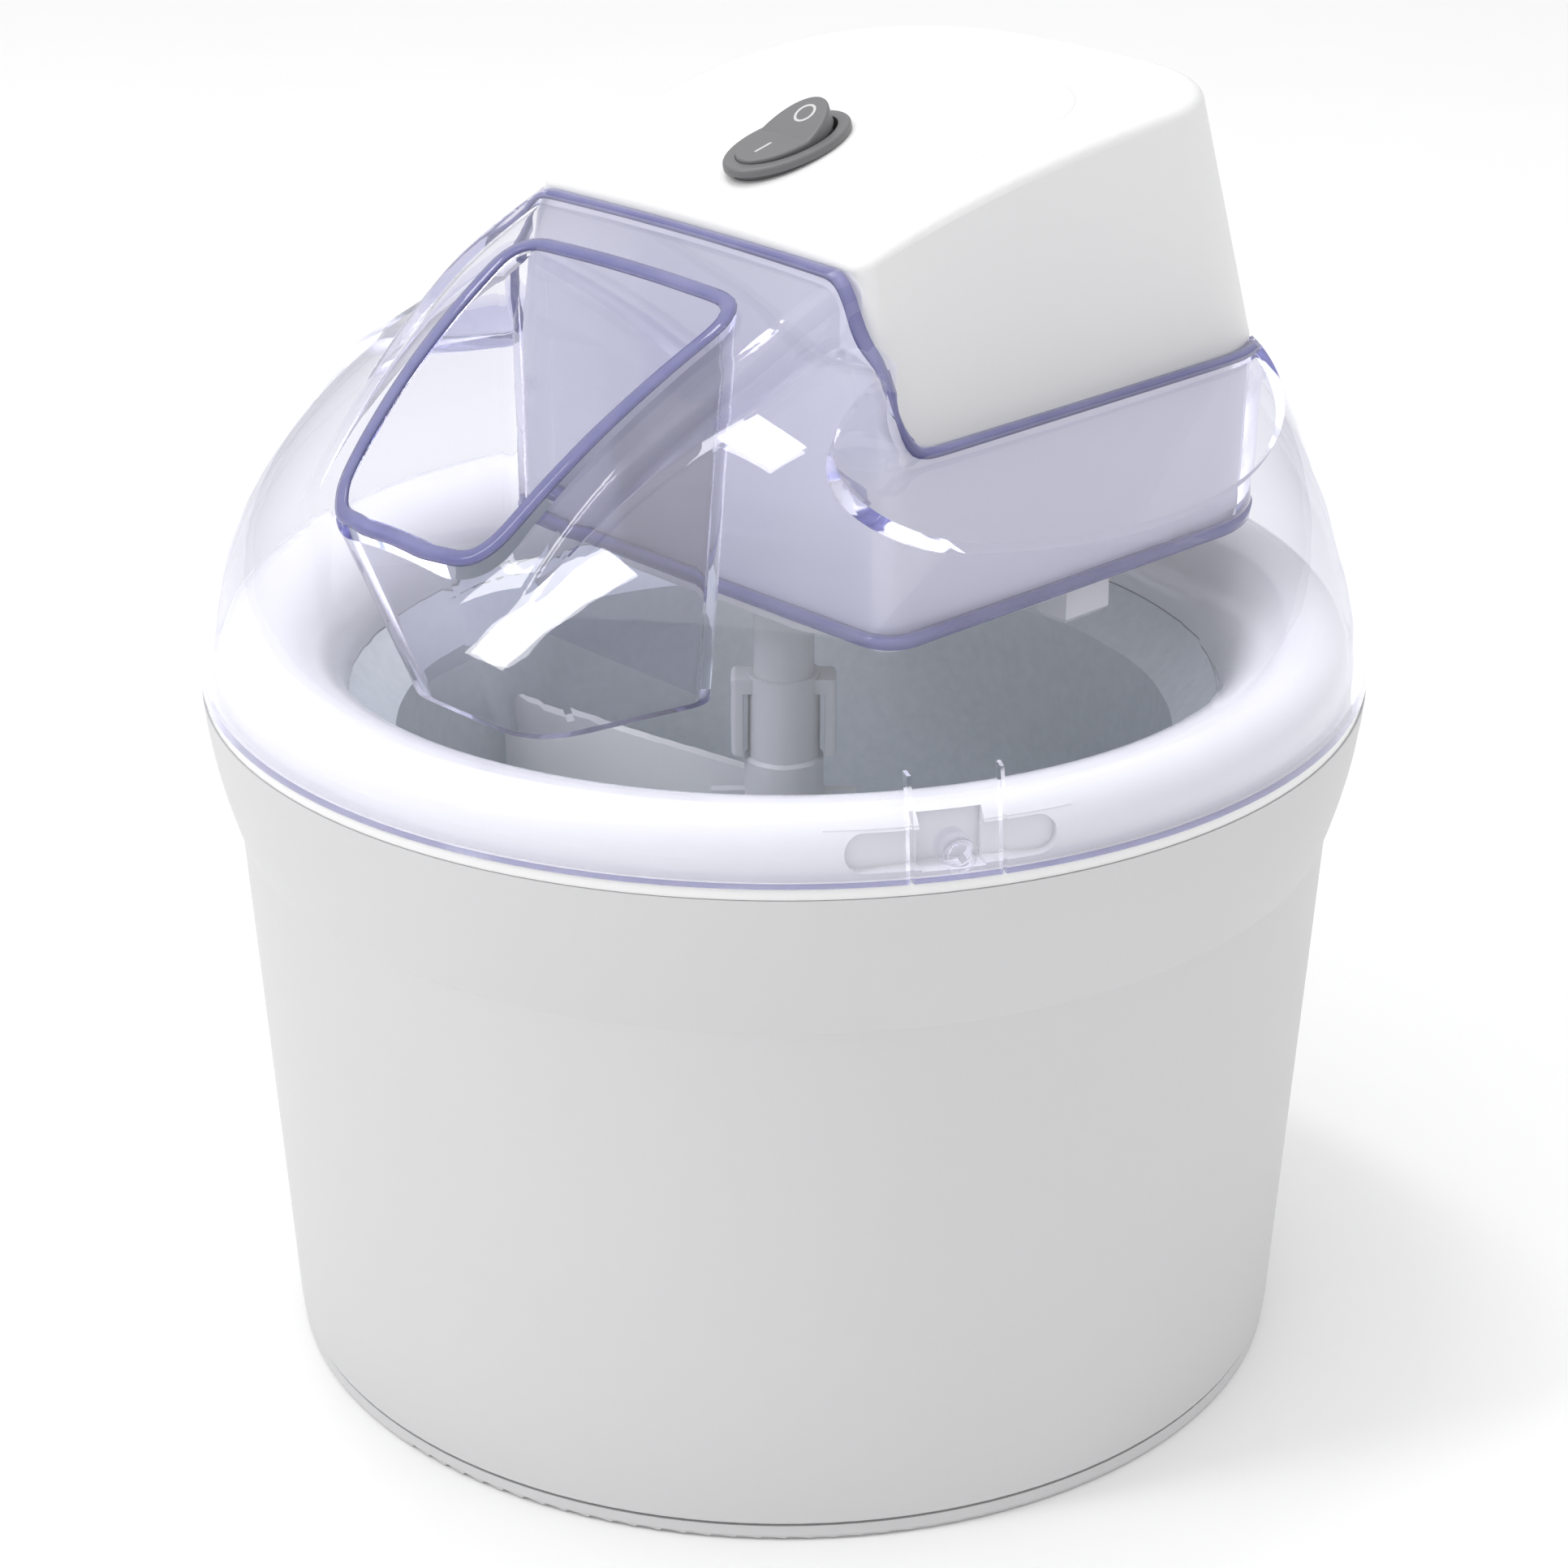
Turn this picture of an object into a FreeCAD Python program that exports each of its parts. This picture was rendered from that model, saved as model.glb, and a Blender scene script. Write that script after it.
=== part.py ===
"""Ice cream maker with a gel-filled freezer bowl, a clear lid and a motor unit.

Millimetres, +Z up. The origin is on the bowl's axis at the height of the surface that it
stands on. The filling spout points to -Y and the cord inlet to +Y.
"""
import FreeCAD, Part
import Sketcher
import math
import os
from FreeCAD import Placement, Rotation, Vector
from fcgear import fcgear, involute

DOC = FreeCAD.newDocument("ice_cream_maker")
SHEET = DOC.addObject("Spreadsheet::Sheet", "Dimensions")

DIMENSIONS = {
    # outer housing and base
    "base_radius": 95.6, "base_height": 3.2, "base_rest_radius": 94.4, "base_recess": 1.2,
    "base_collar_radius": 93.2, "base_collar_top": 8.0, "base_wall": 2.0,
    "housing_foot": 3.6, "housing_foot_radius": 96.0, "housing_wall": 2.3,
    "collar_height": 104.5, "collar_radius": 102.0, "collar_curve": 100.0,
    "housing_top": 131.4, "housing_top_radius": 107.7,
    # freezer bowl
    "rim_flange_radius": 107.4, "rim_flange_bottom": 131.5, "rim_flange_top": 133.5,
    "rim_radius": 104.7, "rim_shoulder": 137.3, "rim_crest": 144.3, "rim_crest_radius": 97.7,
    "rim_foot": 127.8, "rim_mouth_radius": 81.2, "rim_wall": 2.2, "rim_skirt_radius": 97.5,
    "rim_skirt_foot": 122.0, "rim_skirt_wall": 1.9,
    "shell_top": 126.5, "shell_top_radius": 97.2, "shell_foot": 9.5, "shell_foot_radius": 90.5,
    "shell_corner": 7.0, "shell_wall": 2.0, "plug_radius": 7.0, "plug_head_radius": 10.0,
    "liner_mouth": 127.6, "liner_mouth_radius": 81.0, "liner_flange_radius": 84.6,
    "liner_neck": 119.3, "liner_neck_radius": 72.8, "liner_base_radius": 70.4,
    "liner_floor": 22.0, "liner_corner": 12.0, "liner_wall": 1.0,
    "pip_radius": 3.2, "pip_height": 5.0, "gel_top": 116.0, "gel_gap": 0.6,
    # bayonet recess in the rim and stud on the lid
    "bayonet_angle": -28.6, "recess_low": 134.7, "recess_high": 141.3, "recess_length": 36.0,
    "recess_radius": 101.4, "pocket_width": 11.0, "pocket_high": 143.4, "pocket_radius": 99.8,
    "stud_height": 138.0, "stud_radius": 2.9, "stud_reach": 102.6, "stud_head": 0.5,
    "tongue_width": 15.7, "tongue_top": 151.5, "slit_width": 0.7,
    # clear lid
    "lid_radius": 107.8, "lid_foot": 133.6, "dome_level": 132.0, "dome_height": 88.0,
    "dome_lean": 5.1, "dome_lean_start": 150.0, "dome_lean_span": 33.7, "dome_cap": 212.0,
    "lid_wall": 2.4, "edge_wall": 2.6, "fit_gap": 0.4, "lip_height": 187.0, "lip_corner": 12.0,
    "lip_inner": 50.6, "well_foot": 153.0,
    "chute_foot": 141.0, "chute_wall": 2.6, "chute_back_low": 41.0, "chute_front_low": 74.0,
    "chute_back_high": 38.0, "chute_front_high": 104.5, "chute_high": 216.0,
    "chute_back_width_low": 24.0, "chute_front_width_low": 16.0,
    "chute_back_width_high": 28.1, "chute_front_width_high": 20.6,
    # motor unit
    "nose_bend": 4.0, "motor_front": 22.0, "motor_foot": 153.2, "motor_waist": 187.0, "motor_roof": 232.0,
    "motor_wall": 2.2, "roof_front": 217.6, "roof_crown": 1.8, "roof_edge": 2.4,
    "floor_bottom": 151.0, "boss_bottom": 147.2, "boss_half": 31.0, "boss_rear": 62.0,
    "hook_side": 44.2, "hook_width": 7.0, "hook_from": 25.0, "hook_to": 36.5,
    "hook_foot": 143.5,
    # drive
    "gear_module": 1.0, "pinion_teeth": 12, "wheel_teeth": 36, "mesh_play": 0.12,
    "motor_axis": 45.0, "coupler_radius": 8.0, "coupler_foot": 148.0, "coupler_top": 159.0,
    "socket_side": 8.2, "drive_side": 7.4, "stirrer_angle": 8.5,
    "output_gear_low": 160.5, "output_gear_high": 166.5, "first_gear_low": 167.5,
    "first_gear_high": 172.5, "chassis_low": 176.5, "chassis_wall": 2.0,
    "can_radius": 26.0, "can_high": 214.0, "can_wall": 1.2, "shaft_radius": 2.0,
    "bearing_gap": 0.06,
    # stirrer
    "shaft_body_radius": 5.7, "shaft_foot": 60.0, "shaft_shoulder": 146.6, "shaft_tip": 156.5,
    "hub_radius": 6.8, "hub_collar_radius": 7.5, "hub_top": 128.0, "hub_collar_top": 111.5,
    "hub_foot": 23.4, "clip_reach": 9.9, "clip_low": 112.0, "clip_high": 127.6,
    "clip_width": 7.0, "clip_wall": 2.2, "blade_reach": 70.2, "blade_reach_low": 68.2,
    "blade_foot": 24.8, "blade_top": 106.0, "blade_wall": 2.4, "short_blade_top": 72.0,
    "blade_corner": 13.0, "wing_reach": 13.8, "clip_angle": 46.0,
    # rocker switch
    "switch_lean": 12.6, "switch_back": 1.0, "switch_level": 227.5, "bezel_length": 27.6,
    "bezel_width": 17.2, "bezel_rise": 1.5, "rocker_length": 21.2, "rocker_width": 12.4,
    "rocker_throw": 20.0, "switch_gap": 0.55, "sleeve_length": 24.4, "sleeve_width": 15.6,
    "rocker_crest": 4.9, "rocker_dip": 3.1, "rocker_pivot": -0.6, "trunnion_radius": 0.9,
    "trunnion_reach": 7.15,
    # cord inlet
    "inlet_level": 200.0, "inlet_bore": 3.3, "inlet_length": 12.0, "inlet_radius": 5.0,
    "inlet_flange_radius": 7.5, "inlet_face": 85.6, "inlet_boss_radius": 9.2,
}


class Size:
    """A length with its value and the spreadsheet expression that gives it."""

    def __init__(self, value, text):
        self.value = float(value)
        self.text = text

    def joined(self, other, sign):
        if not isinstance(other, Size):
            other = Size(other, repr(other))
        value = self.value + sign * other.value
        mark = "+" if sign > 0 else "-"
        return Size(value, f"({self.text} {mark} {other.text})")

    def __add__(self, other):
        return self.joined(other, 1)

    def __sub__(self, other):
        return self.joined(other, -1)


def fill_sheet():
    """Write every driving dimension to the spreadsheet, one alias to a row."""
    for row, (alias, number) in enumerate(DIMENSIONS.items(), start=1):
        SHEET.set(f"A{row}", alias)
        SHEET.set(f"B{row}", str(number))
        SHEET.setAlias(f"B{row}", alias)
    DOC.recompute()


def size(alias):
    return Size(getattr(SHEET, alias), f"Dimensions.{alias}")


def mm(alias):
    return float(getattr(SHEET, alias))


def as_size(number):
    return number if isinstance(number, Size) else Size(number, repr(float(number)))


# ---------------------------------------------------------------- PartDesign helpers

def origin_plane(body, role):
    return next(f for f in body.Origin.OriginFeatures if f.Role == role)


def arc_through(start, end, radius):
    """Arc from start to end; a positive radius bulges to the right of the way travelled."""
    chord = end - start
    half = chord.Length / 2
    bulge = abs(radius) - math.sqrt(radius * radius - half * half)
    side = Vector(chord.y, -chord.x, 0).normalize() * math.copysign(bulge, radius)
    return Part.Arc(start, start + chord * 0.5 + side, end)


def outline_sketch(body, name, role, corners):
    """Closed outline of lines and arcs; a corner is (x, y) or (x, y, radius of next edge)."""
    sketch = body.newObject("Sketcher::SketchObject", name)
    sketch.AttachmentSupport = [(origin_plane(body, role), "")]
    sketch.MapMode = "FlatFace"
    sizes = [(as_size(c[0]), as_size(c[1])) for c in corners]
    points = [Vector(x.value, y.value, 0) for x, y in sizes]
    ends = []
    for index, corner in enumerate(corners):
        start, end = points[index], points[(index + 1) % len(points)]
        if len(corner) == 3:
            edge = sketch.addGeometry(arc_through(start, end, corner[2]), False)
            sketch.addConstraint(Sketcher.Constraint("Radius", edge, abs(corner[2])))
        else:
            edge = sketch.addGeometry(Part.LineSegment(start, end), False)
        forward = (sketch.getPoint(edge, 1) - start).Length < 1e-6
        ends.append((edge, 1, 2) if forward else (edge, 2, 1))
    for index, (edge, first, last) in enumerate(ends):
        after, after_first, after_last = ends[(index + 1) % len(ends)]
        sketch.addConstraint(Sketcher.Constraint("Coincident", edge, last, after, after_first))
        for kind, length in zip(("DistanceX", "DistanceY"), sizes[index]):
            rule = Sketcher.Constraint(kind, -1, 1, edge, first, length.value)
            number = sketch.addConstraint(rule)
            if "Dimensions" in length.text:
                sketch.setExpression(f"Constraints[{number}]", length.text)
    return sketch


def turned_body(label, corners):
    """A body turned about Z from an outline of (radius, height) corners."""
    body = DOC.addObject("PartDesign::Body", label)
    sketch = outline_sketch(body, f"{label}_outline", "XZ_Plane", corners)
    turn = body.newObject("PartDesign::Revolution", f"{label}_turn")
    turn.Profile = sketch
    turn.ReferenceAxis = (sketch, ["V_Axis"])
    turn.Angle = 360.0
    DOC.recompute()
    return body


# ---------------------------------------------------------------- Part helpers

def feature(label, shape, placement=None):
    """A sub-part whose shape is built with Part's own functions."""
    item = DOC.addObject("Part::Feature", label)
    item.Shape = shape
    if placement is not None:
        item.Placement = placement
    return item


def cylinder(radius, low, high, x=0.0, y=0.0):
    return Part.makeCylinder(radius, high - low, Vector(x, y, low))


def box(low, high):
    spans = [b - a for a, b in zip(low, high)]
    return Part.makeBox(*spans, Vector(*low))


def fused(shapes):
    return shapes[0].multiFuse(shapes[1:]).removeSplitter()


def solid_loft(wires, ruled=False):
    return Part.makeLoft(wires, True, ruled)


def mirrored(shape):
    return shape.mirror(Vector(0, 0, 0), Vector(1, 0, 0))


# ---------------------------------------------------------------- housing and bowl

def make_base_plate():
    inner = size("base_collar_radius") - size("base_wall")
    rest_inner = size("base_rest_radius") - 3.4
    return turned_body("base_plate", [
        (0, size("base_recess")), (rest_inner - 0.8, size("base_recess")), (rest_inner, 0),
        (size("base_rest_radius"), 0, mm("base_radius") - mm("base_rest_radius")),
        (size("base_radius"), mm("base_radius") - mm("base_rest_radius")),
        (size("base_radius"), size("base_height")),
        (size("base_collar_radius"), size("base_height")),
        (size("base_collar_radius"), size("base_collar_top")),
        (inner, size("base_collar_top")), (inner, size("base_height")),
        (0, size("base_height")),
    ])


def make_outer_housing():
    wall = size("housing_wall")
    return turned_body("outer_housing", [
        (size("housing_foot_radius") - 0.5, size("housing_foot")),
        (size("housing_foot_radius"), size("housing_foot") + 0.5),
        (size("collar_radius"), size("collar_height"), mm("collar_curve")),
        (size("housing_top_radius"), size("housing_top")),
        (size("housing_top_radius") - wall, size("housing_top"),
         -(mm("collar_curve") - mm("housing_wall"))),
        (size("collar_radius") - wall, size("collar_height") + 0.3),
        (size("housing_foot_radius") - wall, size("housing_foot") + 0.5),
        (size("housing_foot_radius") - wall, size("housing_foot")),
    ])


def make_bowl_shell():
    wall, corner = size("shell_wall"), mm("shell_corner")
    return turned_body("bowl_outer_shell", [
        (size("plug_radius"), size("shell_foot")),
        (size("shell_foot_radius") - corner, size("shell_foot"), corner),
        (size("shell_foot_radius"), size("shell_foot") + corner),
        (size("shell_top_radius"), size("shell_top")),
        (size("shell_top_radius") - wall, size("shell_top")),
        (size("shell_foot_radius") - wall, size("shell_foot") + corner,
         -(corner - mm("shell_wall"))),
        (size("shell_foot_radius") - corner, size("shell_foot") + wall),
        (size("plug_radius"), size("shell_foot") + wall),
    ])


def make_fill_plug():
    radius = size("plug_radius") - 0.05
    head = size("shell_foot") - 0.05
    return turned_body("bowl_fill_plug", [
        (0, head - 1.2), (size("plug_head_radius"), head - 1.2),
        (size("plug_head_radius"), head), (radius, head),
        (radius, size("shell_foot") + 3.0), (0, size("shell_foot") + 3.0),
    ])


def at_bayonets(shape):
    """The shape, modelled towards +X, turned to the two opposite bayonets."""
    turned_shapes = []
    for half_turn in (0, 180):
        copy = shape.copy()
        copy.rotate(Vector(0, 0, 0), Vector(0, 0, 1), mm("bayonet_angle") + half_turn)
        turned_shapes.append(copy)
    return turned_shapes


def bayonet_recess():
    """Stadium groove with a square entry pocket, cut into the rim's outer face."""
    low, high, reach = mm("recess_low"), mm("recess_high"), mm("recess_radius")
    half = (mm("recess_length") - (high - low)) / 2
    radius, outside = (high - low) / 2, mm("rim_radius") + 3
    middle = low + radius
    depth = outside - reach
    groove = fused([
        box((reach, -half, low), (outside, half, high)),
        Part.makeCylinder(radius, depth, Vector(reach, -half, middle), Vector(1, 0, 0)),
        Part.makeCylinder(radius, depth, Vector(reach, half, middle), Vector(1, 0, 0)),
        box((mm("pocket_radius"), -mm("pocket_width") / 2, low - 0.4),
            (outside, mm("pocket_width") / 2, mm("pocket_high"))),
    ])
    return at_bayonets(groove)


def make_bowl_rim():
    """Rounded white rim: a tight outer shoulder and a wide roll down to the liner."""
    wall = size("rim_wall")
    shoulder = mm("rim_crest") - mm("rim_shoulder")
    roll = mm("rim_crest") - mm("rim_foot")
    inside = -(shoulder - mm("rim_wall"))
    corners = [
        (size("rim_flange_radius"), size("rim_flange_bottom")),
        (size("rim_flange_radius"), size("rim_flange_top")),
        (size("rim_radius"), size("rim_flange_top")),
        (size("rim_radius"), size("rim_shoulder"), shoulder),
        (size("rim_crest_radius"), size("rim_crest"), roll),
        (size("rim_mouth_radius"), size("rim_foot")),
        (size("rim_mouth_radius") + wall, size("rim_foot"), -(roll - mm("rim_wall"))),
        (size("rim_crest_radius"), size("rim_crest") - wall, inside),
        (size("rim_radius") - wall, size("rim_shoulder")),
        (size("rim_radius") - wall, size("rim_flange_top") - 0.2),
        (size("rim_skirt_radius"), size("rim_flange_top") - 0.2),
        (size("rim_skirt_radius"), size("rim_skirt_foot")),
        (size("rim_skirt_radius") + size("rim_skirt_wall"), size("rim_skirt_foot")),
        (size("rim_skirt_radius") + size("rim_skirt_wall"), size("rim_flange_bottom")),
    ]
    body = turned_body("rim_blank", corners)
    backing = box((mm("rim_crest_radius"), -mm("recess_length") / 2 - 3, mm("rim_flange_top") - 0.2),
                  (mm("rim_radius"), mm("recess_length") / 2 + 3, mm("rim_crest") - 2.4))
    backing = backing.common(cylinder(mm("rim_radius") - 1.5, mm("rim_skirt_foot"), mm("rim_crest")))
    rim = body.Shape.fuse(at_bayonets(backing)).cut(bayonet_recess())
    return feature("bowl_rim", rim.removeSplitter())


def make_bowl_liner():
    wall, corner = size("liner_wall"), mm("liner_corner")
    floor, flange = size("liner_floor"), size("liner_flange_radius")
    base, neck = size("liner_base_radius"), size("liner_neck_radius")
    lip = size("liner_mouth")
    return turned_body("bowl_liner", [
        (0, floor - wall), (base - corner, floor - wall, corner + mm("liner_wall")),
        (base + wall, floor + corner), (neck + wall, size("liner_neck") - 0.4),
        (size("liner_mouth_radius") + 0.6, lip - wall), (flange, lip - wall),
        (flange, lip), (size("liner_mouth_radius"), lip),
        (neck, size("liner_neck")), (base, floor + corner, -corner),
        (base - corner, floor), (size("pip_radius"), floor),
        (size("pip_radius") - 0.6, floor + size("pip_height")),
        (0, floor + size("pip_height")),
    ])


def make_coolant_gel():
    gap, corner = size("gel_gap"), mm("liner_corner")
    inner_wall = size("liner_wall") + gap
    outer_wall = size("shell_wall") + gap
    return turned_body("coolant_gel", [
        (0, size("shell_foot") + 4.4),
        (size("shell_foot_radius") - 12, size("shell_foot") + 4.4),
        (size("shell_foot_radius") - outer_wall - 0.6, size("shell_foot") + 12),
        (size("shell_top_radius") - outer_wall - 0.8, size("gel_top")),
        (size("liner_neck_radius") + inner_wall, size("gel_top")),
        (size("liner_base_radius") + inner_wall, size("liner_floor") + corner,
         -(corner + mm("liner_wall") + mm("gel_gap"))),
        (size("liner_base_radius") - corner, size("liner_floor") - inner_wall),
        (0, size("liner_floor") - inner_wall),
    ])


# ---------------------------------------------------------------- clear lid

def dome_radius(height, inset):
    rise = (height - mm("dome_level")) / (mm("dome_height") - inset)
    return (mm("lid_radius") - inset) * math.sqrt(1 - rise * rise)


def dome_lean(height):
    """How far the dome's section has moved towards the rear at a height."""
    climb = max(height - mm("dome_lean_start"), 0.0) / mm("dome_lean_span")
    return mm("dome_lean") * climb * climb


def dome_solid(foot, inset):
    """Domed cover: a stack of circles that shrink and move back as they rise."""
    steps = 12
    top = mm("dome_cap") - inset
    wires = []
    for step in range(steps + 1):
        height = foot + (top - foot) * math.sin(math.pi / 2 * step / steps)
        circle = Part.Circle(Vector(0, dome_lean(height), height), Vector(0, 0, 1),
                             dome_radius(height, inset))
        wires.append(Part.Wire([circle.toShape()]))
    return solid_loft(wires)


# spout ridge: (distance forward, height, half width, crown of the roof between the ridges)
SPOUT_STATIONS = [
    (22.4, 217.5, 42.2, 0.4), (40.4, 210.4, 41.2, 1.0), (57.9, 200.6, 38.2, 1.6),
    (70.5, 191.6, 35.6, 2.4), (82.5, 180.2, 33.8, 3.6), (91.2, 168.5, 32.4, 5.0),
    (99.0, 152.0, 31.2, 5.0), (102.6, 137.0, 30.4, 4.6),
]
SPOUT_PIVOT = (22.4, 120.0)


def spout_section(station, inset):
    """Fan-shaped section of the spout on a plane through the pivot line."""
    forward, height, half, crown = station
    pivot_forward, pivot_height = SPOUT_PIVOT
    run, rise = forward - pivot_forward, height - pivot_height
    reach = math.hypot(run, rise)
    along, up = run / reach, rise / reach
    half -= inset
    reach -= inset
    bend = 4.5 - inset / 2
    near = 20.0

    def at(x, distance):
        return Vector(x, -(pivot_forward + along * distance), pivot_height + up * distance)

    slack = bend * (1 - math.sqrt(0.5))
    left, right = -half, half
    edges = [
        Part.LineSegment(at(left, near), at(right, near)),
        Part.LineSegment(at(right, near), at(right, reach - bend)),
        Part.Arc(at(right, reach - bend), at(right - slack, reach - slack),
                 at(right - bend, reach)),
        Part.Arc(at(right - bend, reach), at(0, reach + crown), at(left + bend, reach)),
        Part.Arc(at(left + bend, reach), at(left + slack, reach - slack),
                 at(left, reach - bend)),
        Part.LineSegment(at(left, reach - bend), at(left, near)),
    ]
    return Part.Wire([edge.toShape() for edge in edges])


def spout_solid(inset):
    return solid_loft([spout_section(station, inset) for station in SPOUT_STATIONS])


def step_profile(x, front, corner, level, top):
    """L-shaped outline, on a plane across X, of the space above the motor unit's seat."""
    rear = 140.0
    slack = corner * (1 - math.sqrt(0.5))
    turn_start = Vector(x, -front, level + corner)
    turn_end = Vector(x, -front + corner, level)
    turn_middle = Vector(x, -front + slack, level + slack)
    edges = [
        Part.LineSegment(Vector(x, -front, top), turn_start),
        Part.Arc(turn_start, turn_middle, turn_end),
        Part.LineSegment(turn_end, Vector(x, rear, level)),
        Part.LineSegment(Vector(x, rear, level), Vector(x, rear, top)),
        Part.LineSegment(Vector(x, rear, top), Vector(x, -front, top)),
    ]
    return Part.Wire([edge.toShape() for edge in edges])


# flare of each shoulder: (distance sideways, front wall, corner radius, drop below the lip)
FLARE_STATIONS = [(60.0, 55.4, 28.0, 1.4), (73.0, 69.0, 38.0, 3.4), (94.0, 78.0, 45.0, 6.5)]


def shoulder_cut(inset):
    """Space above the lid's shoulders: level beside the motor, then flaring outwards."""
    front, level = mm("motor_front") + mm("fit_gap") + inset, mm("lip_height") - inset
    inner, bend, top = mm("lip_inner"), mm("lip_corner"), 260.0
    middle = solid_loft([step_profile(x, front, bend, level, top) for x in (-inner, inner)])
    profiles = [step_profile(inner - 0.01, front, bend, level, top)]
    for sideways, wall_front, corner, drop in FLARE_STATIONS:
        profiles.append(step_profile(sideways, wall_front + inset, corner, level - drop, top))
    flare = solid_loft(profiles)
    return [middle, flare, mirrored(flare)]


def motor_section(height, grow=0.0):
    """Plan outline of the motor unit: flat front, barrelled sides and a rounded rear."""
    waist, roof = mm("motor_waist"), mm("motor_roof")
    if height > waist:
        climb = (height - waist) / (roof - waist)
        front_half, middle_half = 49.0 - 10.6 * climb, 50.2 - 4.6 * climb
        rear, corner = 85.5 - 6.0 * climb, 22.5 + 7.5 * climb
    else:
        drop = (waist - height) / (waist - mm("motor_foot"))
        front_half, middle_half = 49.0 - 0.4 * drop, 50.2 - 0.5 * drop
        rear, corner = 85.5 - 1.0 * drop, 22.5
    front = -mm("motor_front") - grow
    front_half, middle_half, rear = front_half + grow, middle_half + grow, rear + grow
    corner += grow
    side_end = middle_half - 0.5
    slack = corner * (1 - math.sqrt(0.5))
    bend = max(mm("nose_bend") + grow, 0.6)
    start = Vector(front_half - bend, front, height)
    cheek = Vector(front_half + 0.1, front + bend, height)
    cheek_knee = Vector(front_half - bend * (1 - math.sqrt(0.5)),
                        front + bend * (1 - math.sqrt(0.5)), height)
    side = Vector(middle_half, 22.0, height)
    turn = Vector(side_end, rear - corner, height)
    turned = Vector(side_end - corner, rear, height)

    def flip(point):
        return Vector(-point.x, point.y, point.z)

    knee = Vector(side_end - slack, rear - slack, height)
    edges = [
        Part.LineSegment(flip(start), start),
        Part.Arc(start, cheek_knee, cheek),
        Part.Arc(cheek, side, turn),
        Part.Arc(turn, knee, turned),
        Part.Arc(turned, Vector(0, rear + 0.8, height), flip(turned)),
        Part.Arc(flip(turned), flip(knee), flip(turn)),
        Part.Arc(flip(turn), flip(side), flip(cheek)),
        Part.Arc(flip(cheek), flip(cheek_knee), flip(start)),
    ]
    return Part.Wire([edge.toShape() for edge in edges])


def motor_prism(low, high, grow=0.0):
    """Tapered column with the motor unit's plan, straight between the waist and each end."""
    waist = mm("motor_waist")
    if high <= waist:
        return solid_loft([motor_section(low, grow), motor_section(high, grow)], ruled=True)
    upper = solid_loft([motor_section(waist, grow), motor_section(high, grow)], ruled=True)
    if low >= waist:
        return upper
    lower = solid_loft([motor_section(low, grow), motor_section(waist, grow)], ruled=True)
    return lower.fuse(upper)


def chute_section(height, grow):
    """Plan outline of the filling chute, wide at the back and narrow at the front."""
    low, high = mm("chute_foot"), mm("chute_high")
    climb = (height - low) / (high - low)

    def between(name):
        return mm(f"{name}_low") + (mm(f"{name}_high") - mm(f"{name}_low")) * climb

    back, front = between("chute_back") - grow, between("chute_front") + grow
    back_half = between("chute_back_width") + grow
    front_half = between("chute_front_width") + grow
    corners = [Vector(back_half, -back, height), Vector(front_half, -front, height),
               Vector(-front_half, -front, height), Vector(-back_half, -back, height)]
    bends = [3.5 + grow, 8.5 + grow, 8.5 + grow, 3.5 + grow]
    return rounded_loop(corners, bends)


def rounded_loop(corners, bends):
    """Closed wire of straight sides whose corners are rounded by tangent arcs."""
    count = len(corners)
    arcs = []
    for index, (corner, bend) in enumerate(zip(corners, bends)):
        to_last = (corners[index - 1] - corner).normalize()
        to_next = (corners[(index + 1) % count] - corner).normalize()
        half_angle = to_last.getAngle(to_next) / 2
        cut = bend / math.tan(half_angle)
        bisector = (to_last + to_next).normalize()
        centre = corner + bisector * (bend / math.sin(half_angle))
        arcs.append(Part.Arc(corner + to_last * cut, centre - bisector * bend,
                             corner + to_next * cut))
    edges = []
    for index, arc in enumerate(arcs):
        follower = arcs[(index + 1) % count]
        edges += [arc, Part.LineSegment(arc.EndPoint, follower.StartPoint)]
    return Part.Wire([edge.toShape() for edge in edges])


def chute_solid(low, high, grow):
    return solid_loft([chute_section(low, grow), chute_section(high, grow)], ruled=True)


def lid_tongue_slits():
    """Slits that free a springy tongue round each bayonet stud."""
    half, slit = mm("tongue_width") / 2, mm("slit_width")
    low, high = mm("lid_foot") - 1, mm("tongue_top")
    inside, outside = mm("rim_radius") - 5, mm("lid_radius") + 3
    slits = fused([box((inside, side * half - slit / 2, low), (outside, side * half + slit / 2, high))
                   for side in (-1, 1)])
    return at_bayonets(slits)


def lid_studs():
    """Pins with hollow heads on the tongues, which engage the rim's recesses."""
    start = Vector(mm("stud_reach"), 0, mm("stud_height"))
    head = mm("lid_radius") + mm("stud_head")
    pin = Part.makeCylinder(mm("stud_radius"), head - mm("stud_reach"), start, Vector(1, 0, 0))
    dimple = Part.makeCylinder(mm("stud_radius") - 0.9, 1.4,
                               Vector(head - 1.0, 0, mm("stud_height")), Vector(1, 0, 0))
    return at_bayonets(pin.cut(dimple))


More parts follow.
